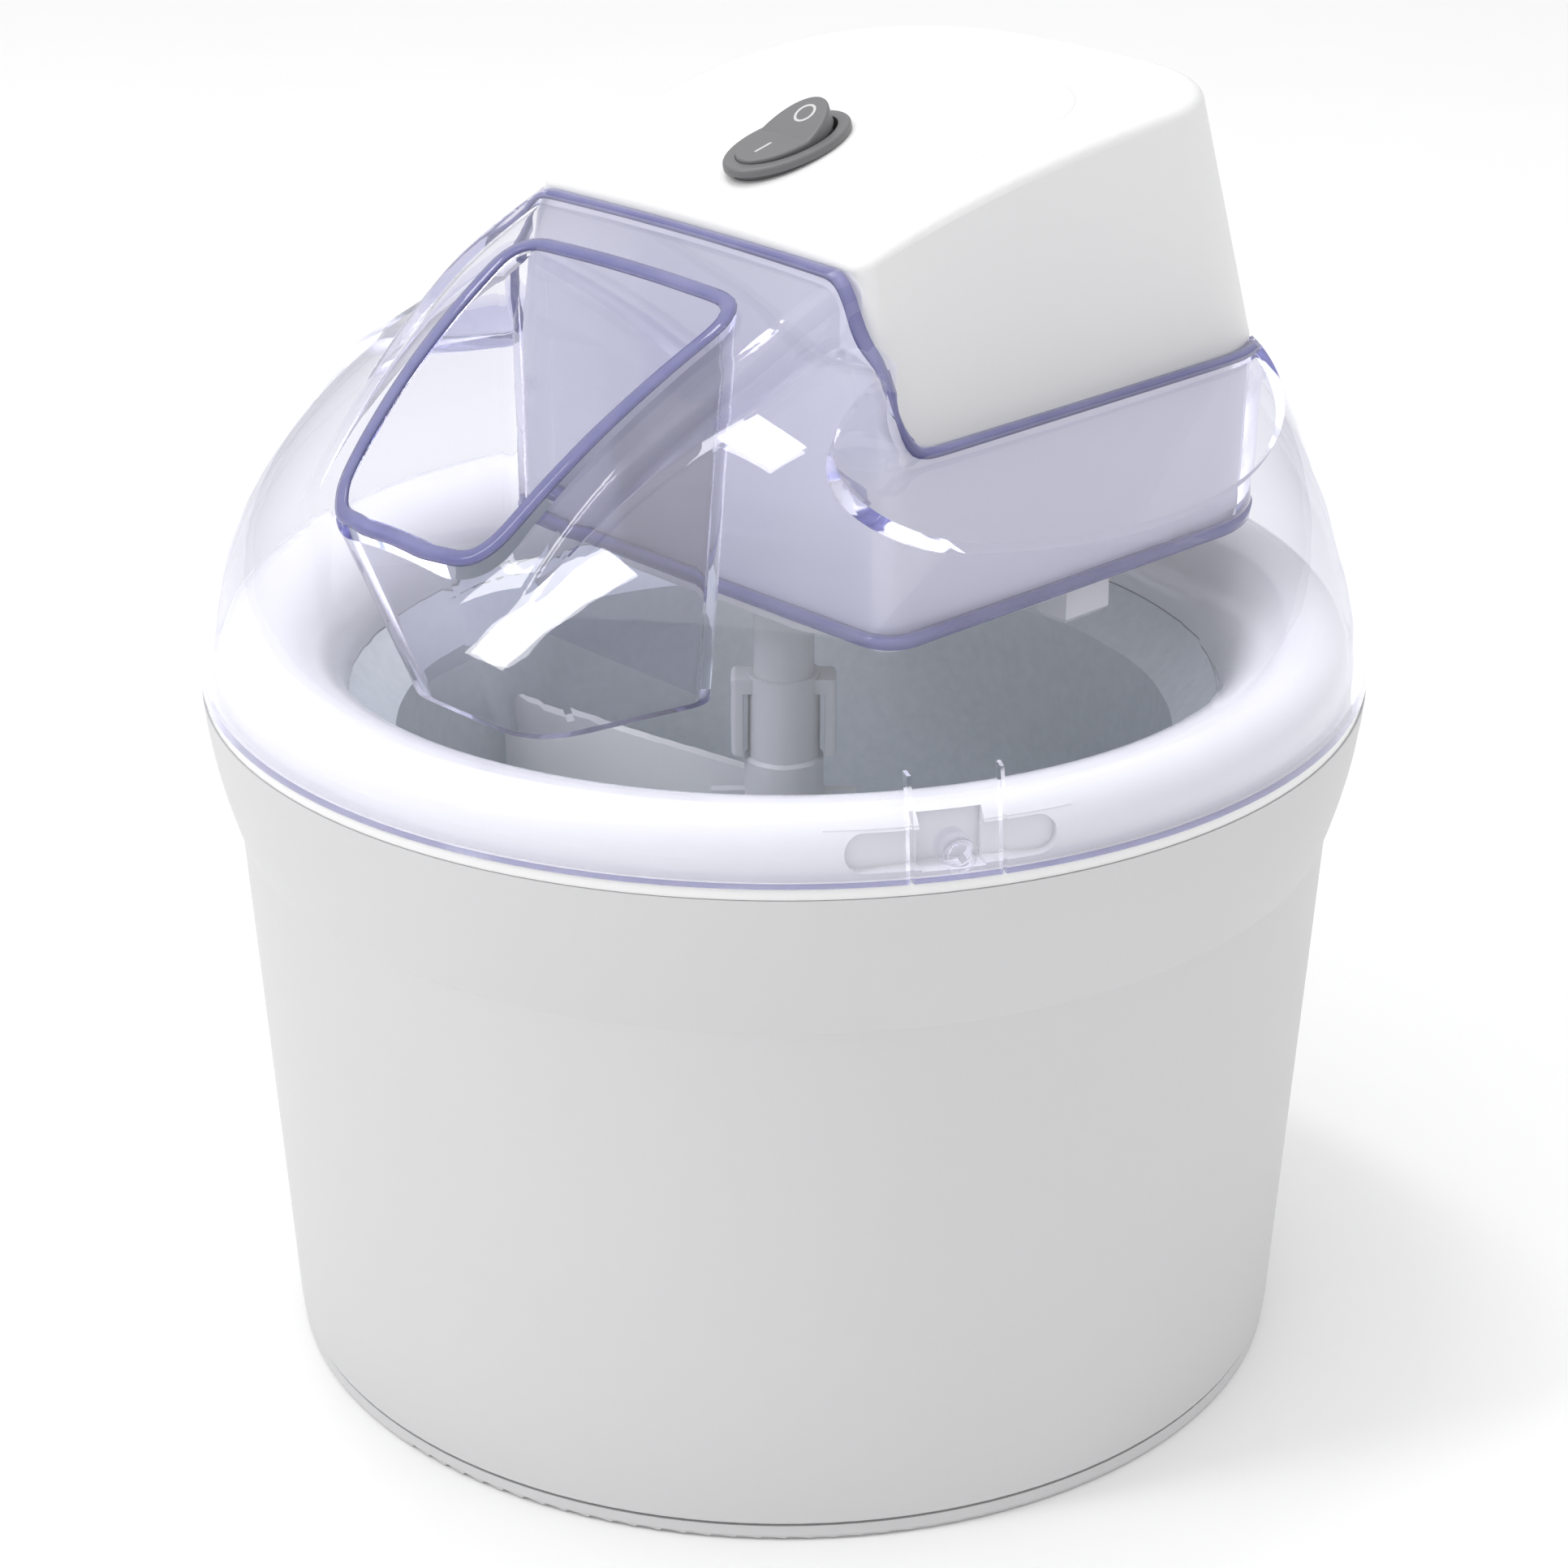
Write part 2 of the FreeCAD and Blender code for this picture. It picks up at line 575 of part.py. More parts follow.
def make_clear_lid():
    wall, gap = mm("lid_wall"), mm("fit_gap")
    outside = dome_solid(mm("lid_foot"), 0.0).fuse(spout_solid(0.0)).cut(shoulder_cut(0.0))
    inside = dome_solid(mm("lid_foot") - 6, wall).fuse(spout_solid(wall)).cut(shoulder_cut(wall))
    below = cylinder(mm("lid_radius") + 10, mm("lid_foot") - 40, mm("lid_foot"))
    outside, shell = outside.cut(below), outside.cut(inside).cut(below)
    well = motor_prism(mm("well_foot"), mm("roof_front") + 20, gap + mm("edge_wall"))
    chute = chute_solid(mm("chute_foot"), mm("chute_high") + 6, mm("chute_wall"))
    lid = shell.fuse([well.common(outside), chute.common(outside)] + lid_studs())
    waist = mm("motor_waist")
    entry = Part.Face(motor_section(waist, gap)).extrude(Vector(0, 0, mm("roof_front") + 30 - waist))
    lid = lid.cut([motor_prism(mm("well_foot") - 8, waist, gap), entry,
                   chute_solid(mm("chute_foot") - 6, mm("chute_high") + 10, 0.0)]
                  + lid_tongue_slits())
    return feature("clear_lid", lid)


# ---------------------------------------------------------------- motor unit shell

# line of the roof along the machine: (distance towards the rear, height)
ROOF_STATIONS = [(-34.0, 212.6), (-12.0, 221.4), (10.0, 227.6), (38.0, 231.6), (70.0, 232.2),
                 (100.0, 230.4)]


def roof_solid(drop):
    """Everything below the gently domed roof line."""
    wires = []
    for y, height in ROOF_STATIONS:
        edge_height = height - drop
        left, right = Vector(-64, y, edge_height - 0.6), Vector(64, y, edge_height - 0.6)
        crest = Vector(0, y, edge_height + mm("roof_crown"))
        floor_right, floor_left = Vector(64, y, 120), Vector(-64, y, 120)
        edges = [Part.Arc(left, crest, right), Part.LineSegment(right, floor_right),
                 Part.LineSegment(floor_right, floor_left), Part.LineSegment(floor_left, left)]
        wires.append(Part.Wire([edge.toShape() for edge in edges]))
    return solid_loft(wires)


def switch_place():
    """Position of the rocker switch on the sloping roof."""
    return Placement(Vector(0, mm("switch_back"), mm("switch_level")),
                     Rotation(Vector(1, 0, 0), mm("switch_lean")))


SCREW_POSTS = [(-38.5, -12.0), (38.5, -12.0), (-40.0, 70.0), (40.0, 70.0)]
CHASSIS_POSTS = [(-27.0, 22.0), (35.0, 27.0), (-27.0, 60.0)]


def make_motor_housing():
    wall = mm("motor_wall")
    foot, high = mm("motor_foot"), mm("motor_roof") + 14
    outside = motor_prism(foot, high).common(roof_solid(0.0)).removeSplitter()
    roof_edges = [edge for edge in outside.Edges
                  if edge.BoundBox.ZMin > mm("roof_front") - 6 and edge.BoundBox.ZLength < 16]
    outside = outside.makeFillet(mm("roof_edge"), roof_edges)
    inside = motor_prism(foot - 4, high, -wall).common(roof_solid(wall))
    shell = outside.cut(inside)
    posts = [cylinder(4.0, foot, mm("motor_roof"), x, y).common(outside) for x, y in SCREW_POSTS]
    face, level = mm("inlet_face"), mm("inlet_level")
    boss = Part.makeCylinder(mm("inlet_boss_radius"), 10, Vector(0, face, level), Vector(0, -1, 0))
    shell = shell.fuse(posts + [boss])
    bores = [cylinder(1.55, foot - 1, foot + 16, x, y) for x, y in SCREW_POSTS]
    inlet = Part.makeCylinder(mm("inlet_radius") + 0.05, 40, Vector(0, face + 10, level),
                              Vector(0, -1, 0))
    window = oval(mm("sleeve_length") / 2 + 0.1, mm("sleeve_width") / 2 + 0.1, -40, 20)
    window.Placement = switch_place()
    return feature("motor_housing", shell.cut(bores + [inlet, window]))


def prism(corners, bends, low, high):
    """Rounded plate between two heights from plan corners."""
    loop = rounded_loop([Vector(x, y, low) for x, y in corners], bends)
    return Part.Face(loop).extrude(Vector(0, 0, high - low))


def make_motor_floor():
    """Underside of the motor unit with the drive boss, catch tabs and gearbox posts."""
    low, top = mm("floor_bottom"), mm("motor_foot") - 0.1
    half, rear, base = mm("boss_half"), mm("boss_rear"), mm("boss_bottom")
    plate = motor_prism(low, top, -0.1)
    boss = prism([(half, -19), (-half, -19), (-half, rear), (half, rear)], [9] * 4, base, low + 0.5)
    boss = boss.makeFillet(1.6, [edge for edge in boss.Edges if edge.BoundBox.ZMax < base + 0.01])
    pieces = [plate, boss, motor_prism(top, top + 4, -mm("motor_wall") - 0.15).cut(
        motor_prism(top - 1, top + 5, -mm("motor_wall") - 1.9))]
    side, width = mm("hook_side"), mm("hook_width") / 2
    for centre in (-side, side):
        hook = box((centre - width, mm("hook_from"), mm("hook_foot")),
                   (centre + width, mm("hook_to"), low + 0.5))
        pieces.append(hook.makeChamfer(1.2, [edge for edge in hook.Edges
                                             if edge.BoundBox.ZMax < mm("hook_foot") + 0.01]))
    pieces += [cylinder(3.6, low + 0.5, mm("chassis_low"), x, y) for x, y in CHASSIS_POSTS]
    holes = [cylinder(10.55, base - 1, top + 1)]
    holes += [cylinder(1.7, base, top + 5, x, y) for x, y in SCREW_POSTS]
    holes += [cylinder(1.45, mm("chassis_low") - 12, mm("chassis_low") + 1, x, y)
              for x, y in CHASSIS_POSTS]
    posts_clear = [cylinder(4.3, top, top + 5, x, y) for x, y in SCREW_POSTS]
    return feature("motor_floor", fused(pieces).cut(holes + posts_clear))


def make_inlet_gland():
    """Grommet of the power cord with a through bore."""
    face, level, length = mm("inlet_face"), mm("inlet_level"), mm("inlet_length")
    out = Vector(0, 1, 0)
    sleeve = Part.makeCylinder(mm("inlet_radius"), length, Vector(0, face - length + 2.2, level), out)
    flange = Part.makeCylinder(mm("inlet_flange_radius"), 2.2, Vector(0, face + 0.02, level), out)
    flange = flange.makeFillet(0.8, [flange.Edges[0]])
    bore = Part.makeCylinder(mm("inlet_bore"), length + 10, Vector(0, face - length - 2, level), out)
    return feature("cord_inlet_gland", sleeve.fuse(flange).cut(bore).removeSplitter())


# ---------------------------------------------------------------- gear train and motor

def gear(teeth, low, high, bore, place, phase):
    """Involute spur gear with a bore; phase is the angle of a tooth's centre."""
    builder = fcgear.FCWireBuilder()
    involute.CreateExternalGear(builder, mm("gear_module"), teeth, 20.0, True)
    wire = Part.Wire([curve.toShape() for curve in builder.wire])
    blank = Part.Face(wire).extrude(Vector(0, 0, high - low))
    blank.rotate(Vector(0, 0, 0), Vector(0, 0, 1), phase)
    blank.translate(Vector(place.x, place.y, low))
    return blank.cut(cylinder(bore, low - 1, high + 1, place.x, place.y))


def mesh_distance():
    teeth = mm("pinion_teeth") + mm("wheel_teeth")
    return mm("gear_module") * teeth / 2 + mm("mesh_play")


def idler_place():
    """Axis of the idler, at one mesh distance from the output shaft and from the motor."""
    half = mm("motor_axis") / 2
    return Vector(math.sqrt(mesh_distance() ** 2 - half * half), half, 0)


def motor_place():
    return Vector(0, mm("motor_axis"), 0)


def direction(start, end):
    return math.degrees(math.atan2(end.y - start.y, end.x - start.x))


def make_output_gear():
    """Last wheel; a tooth space faces the idler."""
    towards = direction(Vector(0, 0, 0), idler_place())
    pitch = 360.0 / mm("wheel_teeth")
    shape = gear(int(mm("wheel_teeth")), mm("output_gear_low"), mm("output_gear_high"), 3.02,
                 Vector(0, 0, 0), towards + pitch / 2)
    hub = cylinder(8.0, mm("coupler_top") + 0.1, mm("output_gear_low"))
    return feature("output_gear", shape.fuse(hub.cut(cylinder(3.02, 150, 170))).removeSplitter())


def make_output_spindle():
    """Coupler with a square socket for the drive shaft, turned on one spindle."""
    body = cylinder(mm("coupler_radius"), mm("coupler_foot"), mm("coupler_top"))
    spindle = cylinder(3.0, mm("coupler_top") - 1, mm("chassis_low") + mm("chassis_wall") + 1)
    half = mm("socket_side") / 2
    socket = box((-half, -half, mm("coupler_foot") - 1), (half, half, mm("shaft_tip") + 0.5))
    socket.rotate(Vector(0, 0, 0), Vector(0, 0, 1), mm("stirrer_angle"))
    return feature("output_coupler", fused([body, spindle]).cut(socket))


def make_output_bush():
    gap = mm("bearing_gap")
    bush = cylinder(10.5, mm("boss_bottom") + 0.2, mm("motor_foot") + 2.4)
    flange = cylinder(13.0, mm("motor_foot") - 0.08, mm("motor_foot") + 1.4)
    bore = cylinder(mm("coupler_radius") + gap, mm("boss_bottom") - 1, mm("motor_foot") + 5)
    return feature("output_bush", bush.fuse(flange).cut(bore).removeSplitter())


def make_idler_gear():
    """Compound wheel: small pinion below on the output gear, large wheel above."""
    place = idler_place()
    bore = mm("shaft_radius") + mm("bearing_gap")
    to_output = direction(place, Vector(0, 0, 0))
    to_motor = direction(place, motor_place())
    pinion = gear(int(mm("pinion_teeth")), mm("output_gear_low") - 0.5, mm("first_gear_low"),
                  bore, place, to_output)
    wheel = gear(int(mm("wheel_teeth")), mm("first_gear_low"), mm("first_gear_high"), bore,
                 place, to_motor + 180.0 / mm("wheel_teeth"))
    return feature("idler_gear", pinion.fuse(wheel).removeSplitter())


def make_idler_pin():
    place = idler_place()
    pin = DOC.addObject("Part::Cylinder", "idler_pin")
    pin.setExpression("Radius", "Dimensions.shaft_radius")
    pin.setExpression("Height", "Dimensions.chassis_low - Dimensions.motor_foot + 1.9")
    pin.Placement.Base = Vector(place.x, place.y, mm("motor_foot"))
    return pin


def make_motor_pinion():
    place = motor_place()
    phase = direction(place, idler_place())
    shape = gear(int(mm("pinion_teeth")), mm("first_gear_low") - 0.5,
                 mm("first_gear_high") + 0.5, mm("shaft_radius") + 0.02, place, phase)
    return feature("motor_pinion", shape)


def make_chassis():
    """Metal plate that carries the motor above and the gear shafts below."""
    low, top = mm("chassis_low"), mm("chassis_low") + mm("chassis_wall")
    plate = prism([(40, -9), (-34, -9), (-34, 66), (40, 66)], [8, 8, 14, 16], low + 0.05, top)
    idler, motor = idler_place(), motor_place()
    holes = [cylinder(3.0 + mm("bearing_gap"), low - 1, top + 1),
             cylinder(mm("shaft_radius") + 0.03, low - 1, top + 1, idler.x, idler.y),
             cylinder(6.0, low - 1, top + 1, motor.x, motor.y)]
    holes += [cylinder(1.6, low - 1, top + 1, x, y) for x, y in CHASSIS_POSTS + motor_screws()]
    return feature("gearbox_chassis", plate.cut(holes))


def motor_screws():
    return [(-16.0, mm("motor_axis")), (16.0, mm("motor_axis"))]


def screw_group(label, places, head_low, head_high, shank_low, shank_high, shank=1.4):
    """Identical pan-head screws as separate solids of one node."""
    solids = []
    for x, y in places:
        head = cylinder(3.0, head_low, head_high, x, y)
        cross_height = head_low - 1 if shank_low >= head_low else head_high - 0.9
        cross = [box((x - 1.8, y - 0.4, cross_height), (x + 1.8, y + 0.4, cross_height + 1.9)),
                 box((x - 0.4, y - 1.8, cross_height), (x + 0.4, y + 1.8, cross_height + 1.9))]
        solids.append(head.fuse(cylinder(shank, shank_low, shank_high, x, y)).cut(cross))
    return feature(label, Part.makeCompound(solids))


def make_motor_can():
    place = motor_place()
    low, high = mm("chassis_low") + mm("chassis_wall") + 0.05, mm("can_high")
    wall, radius = mm("can_wall"), mm("can_radius")
    shape = cylinder(radius, low, high, place.x, place.y)
    shape = shape.makeFillet(1.8, [edge for edge in shape.Edges if edge.BoundBox.ZMin > high - 0.1])
    neck = cylinder(7.0, high - 0.5, high + 2.5, place.x, place.y)
    hollow = cylinder(radius - wall, low + wall, high - wall, place.x, place.y)
    bore = cylinder(mm("shaft_radius") + mm("bearing_gap"), low - 1, high + 4, place.x, place.y)
    screws = [cylinder(1.45, low - 1, low + wall + 1, x, y) for x, y in motor_screws()]
    return feature("motor_can", shape.fuse(neck).cut([hollow, bore] + screws).removeSplitter())


def make_stator():
    """Laminated ring with inward poles."""
    place = motor_place()
    radius = mm("can_radius") - mm("can_wall") - 0.05
    ring = cylinder(radius, 188, 205).cut(cylinder(radius - 4, 187, 206))
    poles = []
    for index in range(4):
        pole = box((14.0, -5, 188), (radius - 3, 5, 205))
        pole.rotate(Vector(0, 0, 0), Vector(0, 0, 1), 90 * index)
        poles.append(pole)
    core = ring.fuse(poles).cut(cylinder(15.0, 187, 206)).removeSplitter()
    core.translate(place)
    return feature("stator_core", core)


def make_field_coils():
    """Windings round the four poles."""
    coils = []
    for index in range(4):
        coil = box((16.0, -7.5, 184.5), (19.0, 7.5, 208.5)).cut(box((15, -5.1, 187.9), (21, 5.1, 205.1)))
        coil.rotate(Vector(0, 0, 0), Vector(0, 0, 1), 90 * index)
        coil.translate(motor_place())
        coils.append(coil)
    return feature("field_coils", Part.makeCompound(coils))


def make_rotor_core():
    place = motor_place()
    core = cylinder(14.5, 187.5, 205.5).cut(cylinder(mm("shaft_radius") + 0.01, 186, 207))
    slots = []
    for index in range(10):
        slot = box((12.4, -0.6, 187), (15, 0.6, 206))
        slot.rotate(Vector(0, 0, 0), Vector(0, 0, 1), 36 * index)
        slots.append(slot)
    core = core.cut(slots)
    core.translate(place)
    return feature("rotor_core", core)


def make_motor_shaft():
    shaft = DOC.addObject("Part::Cylinder", "motor_shaft")
    shaft.setExpression("Radius", "Dimensions.shaft_radius")
    shaft.setExpression("Height", "Dimensions.can_high - Dimensions.first_gear_low + 5")
    shaft.Placement.Base = Vector(0, mm("motor_axis"), mm("first_gear_low") - 1)
    return shaft


# ---------------------------------------------------------------- rocker switch

def oval(half_length, half_width, low, high):
    """Upright oval column, long along Y."""
    ellipse = Part.Ellipse(Vector(0, half_length, low), Vector(half_width, 0, low),
                           Vector(0, 0, low))
    face = Part.Face(Part.Wire([ellipse.toShape()]))
    return face.extrude(Vector(0, 0, high - low))


def make_switch_bezel():
    """Oval frame on the roof, with a sleeve that passes through it and two pivot holes."""
    rise = mm("bezel_rise")
    length, width = mm("bezel_length") / 2, mm("bezel_width") / 2
    plate = oval(length, width, 0.05, rise)
    plate = plate.makeFillet(0.7, [e for e in plate.Edges if e.BoundBox.ZMin > rise - 0.01])
    sleeve = oval(mm("sleeve_length") / 2, mm("sleeve_width") / 2, -9.0, 0.5)
    gap = mm("switch_gap")
    hollow = oval(mm("rocker_length") / 2 + gap, mm("rocker_width") / 2 + gap, -3.9, rise + 1)
    throat = box((-4.6, -9.4, -7.6), (4.6, 9.4, 1.0))
    reach = mm("trunnion_reach") + 0.1
    pivot = Part.makeCylinder(mm("trunnion_radius") + mm("bearing_gap"), 2 * reach,
                              Vector(-reach, 0, mm("rocker_pivot")), Vector(1, 0, 0))
    return feature("switch_bezel", plate.fuse(sleeve).cut([hollow, throat, pivot]).removeSplitter(),
                   switch_place())


def make_switch_rocker():
    """Rocker with a shallow V-shaped top on two trunnions; the front end is pressed at rest."""
    length, half = mm("rocker_length") / 2, mm("rocker_width") / 2
    crest, dip, belly, keel = mm("rocker_crest"), mm("rocker_dip"), 1.0, -2.6
    side = [(-length - 1, crest), (0.0, dip), (length + 1, crest), (length + 1, belly),
            (-length - 1, belly)]
    loop = [Vector(-half - 1, y, z) for y, z in side]
    cap = Part.Face(Part.makePolygon(loop + loop[:1])).extrude(Vector(2 * half + 2, 0, 0))
    cap = cap.common(oval(length, half, keel, crest + 2))
    tops = [e for e in cap.Edges if e.BoundBox.ZMin > dip - 0.2 and e.BoundBox.YLength > 1.0]
    cap = cap.makeFillet(0.5, tops)
    keel_side = [(-7.6, belly + 0.5), (7.6, belly + 0.5), (7.6, 0.2), (3.0, keel),
                 (-3.0, keel), (-7.6, 0.2)]
    loop = [Vector(-4.2, y, z) for y, z in keel_side]
    stem = Part.Face(Part.makePolygon(loop + loop[:1])).extrude(Vector(8.4, 0, 0))
    reach, radius = mm("trunnion_reach"), mm("trunnion_radius")
    trunnion = Part.makeCylinder(radius, 2 * reach, Vector(-reach, 0, 0), Vector(1, 0, 0))
    cheeks = box((-half + 0.6, -2.0, 0.0), (half - 0.6, 2.0, belly + 0.5))
    pressed = Placement(Vector(0, 0, mm("rocker_pivot")),
                        Rotation(Vector(1, 0, 0), mm("rocker_throw") / 2))
    return feature("switch_rocker", fused([cap, stem, cheeks, trunnion]),
                   switch_place().multiply(pressed))


def make_switch_contacts():
    """Three blade terminals below the switch."""
    blades = [box((-2.4, y - 0.4, -16.5), (2.4, y + 0.4, -9.05)) for y in (-7.0, 0.0, 7.0)]
    return feature("switch_terminals", Part.makeCompound(blades), switch_place())


# ---------------------------------------------------------------- stirrer

def make_drive_shaft():
    half = mm("drive_side") / 2
    shoulder, tip = mm("shaft_shoulder"), mm("shaft_tip")
    barrel = cylinder(mm("shaft_body_radius"), mm("shaft_foot"), shoulder)
    square = box((-half, -half, shoulder - 0.5), (half, half, tip))
    square = square.makeChamfer(0.8, [e for e in square.Edges if e.BoundBox.ZMin > tip - 0.01])
    shaft = barrel.fuse(square).removeSplitter()
    return feature("drive_shaft", shaft, turned(mm("stirrer_angle")))


def turned(angle):
    return Placement(Vector(0, 0, 0), Rotation(Vector(0, 0, 1), angle))


def blade(reach_low, reach_high, foot, top, windows):
    """Upright blade towards -X that follows the liner, with rounded windows."""
    corner, wall = mm("blade_corner"), mm("blade_wall")
    corners = [Vector(0, 0, foot), Vector(-reach_low, 0, foot), Vector(-reach_high, 0, top),
               Vector(0, 0, top)]
    outline = rounded_loop(corners, [0.1, corner, 3.0, 0.1])
    plate = Part.Face(outline).extrude(Vector(0, wall, 0))
    plate.translate(Vector(0, -wall / 2, 0))
    for x_near, x_far, z_low, z_high in windows:
        opening = rounded_loop([Vector(-x_near, 0, z_low), Vector(-x_far, 0, z_low),
                                Vector(-x_far, 0, z_high), Vector(-x_near, 0, z_high)], [5.0] * 4)
        cutter = Part.Face(opening).extrude(Vector(0, 4 * wall, 0))
        cutter.translate(Vector(0, -2 * wall, 0))
        plate = plate.cut(cutter)
    return plate


def make_stirrer_paddle():
    """Hub with two spring clips, a tall scraper blade and a short one opposite."""
    low, top = mm("hub_foot"), mm("hub_top")
    hub = cylinder(mm("hub_radius"), low, top)
    collar = cylinder(mm("hub_collar_radius"), 94.0, mm("hub_collar_top"))
    collar = collar.makeChamfer(0.6, [collar.Edges[0], collar.Edges[2]])
    foot = mm("blade_foot")
    tall = blade(mm("blade_reach_low"), mm("blade_reach"), foot, mm("blade_top"),
                 [(18, 56, 36, 58), (18, 57, 65, 86)])
    short = blade(mm("blade_reach_low"), mm("blade_reach_low") + 0.9, foot,
                  mm("short_blade_top"), [(18, 56, 36, 60)])
    short.rotate(Vector(0, 0, 0), Vector(0, 0, 1), 180)
    clips = []
    for side in (0, 180):
        width, reach = mm("clip_width") / 2, mm("clip_reach")
        arm = box((reach - mm("clip_wall"), -width, mm("clip_low")), (reach, width, mm("clip_high")))
        arm = arm.makeFillet(1.0, [e for e in arm.Edges if e.BoundBox.XMin > reach - 0.01])
        bridge = box((4, -width, mm("clip_high") - 3.0), (reach - 1, width, mm("clip_high")))
        wing = box((4, -1.1, mm("hub_collar_top") - 17), (mm("wing_reach"), 1.1, 104.0))
        clip = arm.fuse([bridge, wing])
        clip.rotate(Vector(0, 0, 0), Vector(0, 0, 1), side + mm("clip_angle") - mm("stirrer_angle"))
        clips.append(clip)
    bore = cylinder(mm("shaft_body_radius") + 0.05, mm("shaft_foot") - 0.1, top + 1)
    pip = Part.makeCone(mm("pip_radius") + 0.35, mm("pip_radius") - 0.25, mm("pip_height") + 0.4,
                        Vector(0, 0, mm("liner_floor")))
    shape = hub.fuse([collar, tall, short] + clips).cut([bore, pip]).removeSplitter()
    return feature("stirrer_paddle", shape, turned(mm("stirrer_angle")))


# ---------------------------------------------------------------- document

def make_housing_screws():
    low = mm("floor_bottom")
    return screw_group("housing_screws", SCREW_POSTS, low - 1.8, low - 0.02, low - 0.5,
                       mm("motor_foot") + 14)


def make_chassis_screws():
    top = mm("chassis_low") + mm("chassis_wall")
    return screw_group("chassis_screws", CHASSIS_POSTS, top + 0.02, top + 1.8,
                       top - 12, top + 0.5)


def make_motor_screws():
    low = mm("chassis_low")
    return screw_group("motor_screws", motor_screws(), low - 1.6, low + 0.03, low - 0.5,
                       low + mm("chassis_wall") + 2.0)


MAKERS = [
    make_base_plate, make_outer_housing, make_bowl_shell, make_fill_plug, make_bowl_rim,
    make_bowl_liner, make_coolant_gel, make_clear_lid, make_motor_housing, make_motor_floor,
    make_inlet_gland, make_output_gear, make_output_spindle, make_output_bush, make_idler_gear,
    make_idler_pin, make_motor_pinion, make_chassis, make_motor_can, make_stator,
    make_field_coils, make_rotor_core, make_motor_shaft, make_switch_bezel,
    make_switch_rocker, make_switch_contacts, make_drive_shaft, make_stirrer_paddle,
    make_housing_screws, make_chassis_screws, make_motor_screws,
]


def main():
    fill_sheet()
    nodes = [make() for make in MAKERS]
    DOC.recompute()
    for item in DOC.Objects:
        if "Invalid" in item.State or "Error" in item.State:
            raise RuntimeError(f"{item.Label} did not build: {item.State}")
    os.makedirs("parts", exist_ok=True)
    for item in nodes:
        shape = item.Shape
        if shape.isNull() or not shape.isValid() or not shape.Solids:
            raise RuntimeError(f"{item.Label} has no valid solid")
        shape.exportStep(f"parts/{item.Label}.step")
        print(f"{item.Label}: {len(shape.Solids)} solids, {shape.Volume / 1000:.2f} cm3")


main()
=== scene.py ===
"""Ice cream maker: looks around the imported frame. Metres, +Z up, filling spout towards -Y."""

import math

import bmesh
import bpy
from mathutils import Euler, Matrix, Vector
from mathutils.bvhtree import BVHTree


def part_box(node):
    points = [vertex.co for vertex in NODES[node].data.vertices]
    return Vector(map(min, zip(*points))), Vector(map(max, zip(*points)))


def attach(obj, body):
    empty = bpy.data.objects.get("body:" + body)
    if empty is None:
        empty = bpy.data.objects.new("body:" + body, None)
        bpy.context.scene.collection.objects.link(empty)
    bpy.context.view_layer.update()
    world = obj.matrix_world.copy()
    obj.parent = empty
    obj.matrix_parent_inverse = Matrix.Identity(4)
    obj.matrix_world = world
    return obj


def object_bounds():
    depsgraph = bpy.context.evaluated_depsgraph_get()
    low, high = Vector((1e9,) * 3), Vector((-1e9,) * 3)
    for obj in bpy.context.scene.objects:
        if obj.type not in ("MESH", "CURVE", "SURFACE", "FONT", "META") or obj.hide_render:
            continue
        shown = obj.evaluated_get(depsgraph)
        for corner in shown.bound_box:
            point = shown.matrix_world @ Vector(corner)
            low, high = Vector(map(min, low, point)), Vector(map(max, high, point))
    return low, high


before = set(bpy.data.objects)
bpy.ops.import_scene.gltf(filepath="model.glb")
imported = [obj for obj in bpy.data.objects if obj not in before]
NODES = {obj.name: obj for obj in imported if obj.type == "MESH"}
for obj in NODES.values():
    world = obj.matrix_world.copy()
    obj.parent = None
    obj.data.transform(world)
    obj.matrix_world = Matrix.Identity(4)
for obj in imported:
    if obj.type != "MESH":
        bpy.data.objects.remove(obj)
cad_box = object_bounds()
MM = 0.001

# Clear plastic: thin walls stay light at their ends with a low index under a glossy coat. A ray
# that has bounced more often than the caught depth goes straight on.
CLEAR_INDEX = 1.12
CLEAR_DENSITY = 16.0
CLEAR_TINT = (0.38, 0.38, 0.76, 1)
CAUGHT_DEPTH = 3.5

# A strip is given by half its width, its rise and how deep its sides sink.
# Printed marks on the rocker, from the rocker's middle.
MARK_STRIP = (0.3 * MM, 0.04 * MM, 0.05 * MM)
RING_OUT, RING_RADIUS, RING_POINTS = 5.0 * MM, 1.75 * MM, 40
BAR_OUT, BAR_STEP, BAR_POINTS = 7.2 * MM, 0.5 * MM, 9

# Filling chute as in the part's source, each size at its foot and at its top.
CHUTE_LEVEL = (141.0 * MM, 216.0 * MM)
CHUTE_BACK, CHUTE_FRONT = (-41.0 * MM, -38.0 * MM), (-74.0 * MM, -104.5 * MM)
CHUTE_HALF_BACK, CHUTE_HALF_FRONT = (24.0 * MM, 28.1 * MM), (16.0 * MM, 20.6 * MM)
CHUTE_BEND_BACK, CHUTE_BEND_FRONT = 3.5 * MM, 8.5 * MM
RIM_STRIP = (1.5 * MM, 0.25 * MM, 0.5 * MM)
RIM_GROW, RIM_STEP, RIM_EASE = 1.3 * MM, 1.2 * MM, 3
RIM_LEVELS = [150 * MM + 4 * MM * i for i in range(17)]
RIM_TRIES = 40

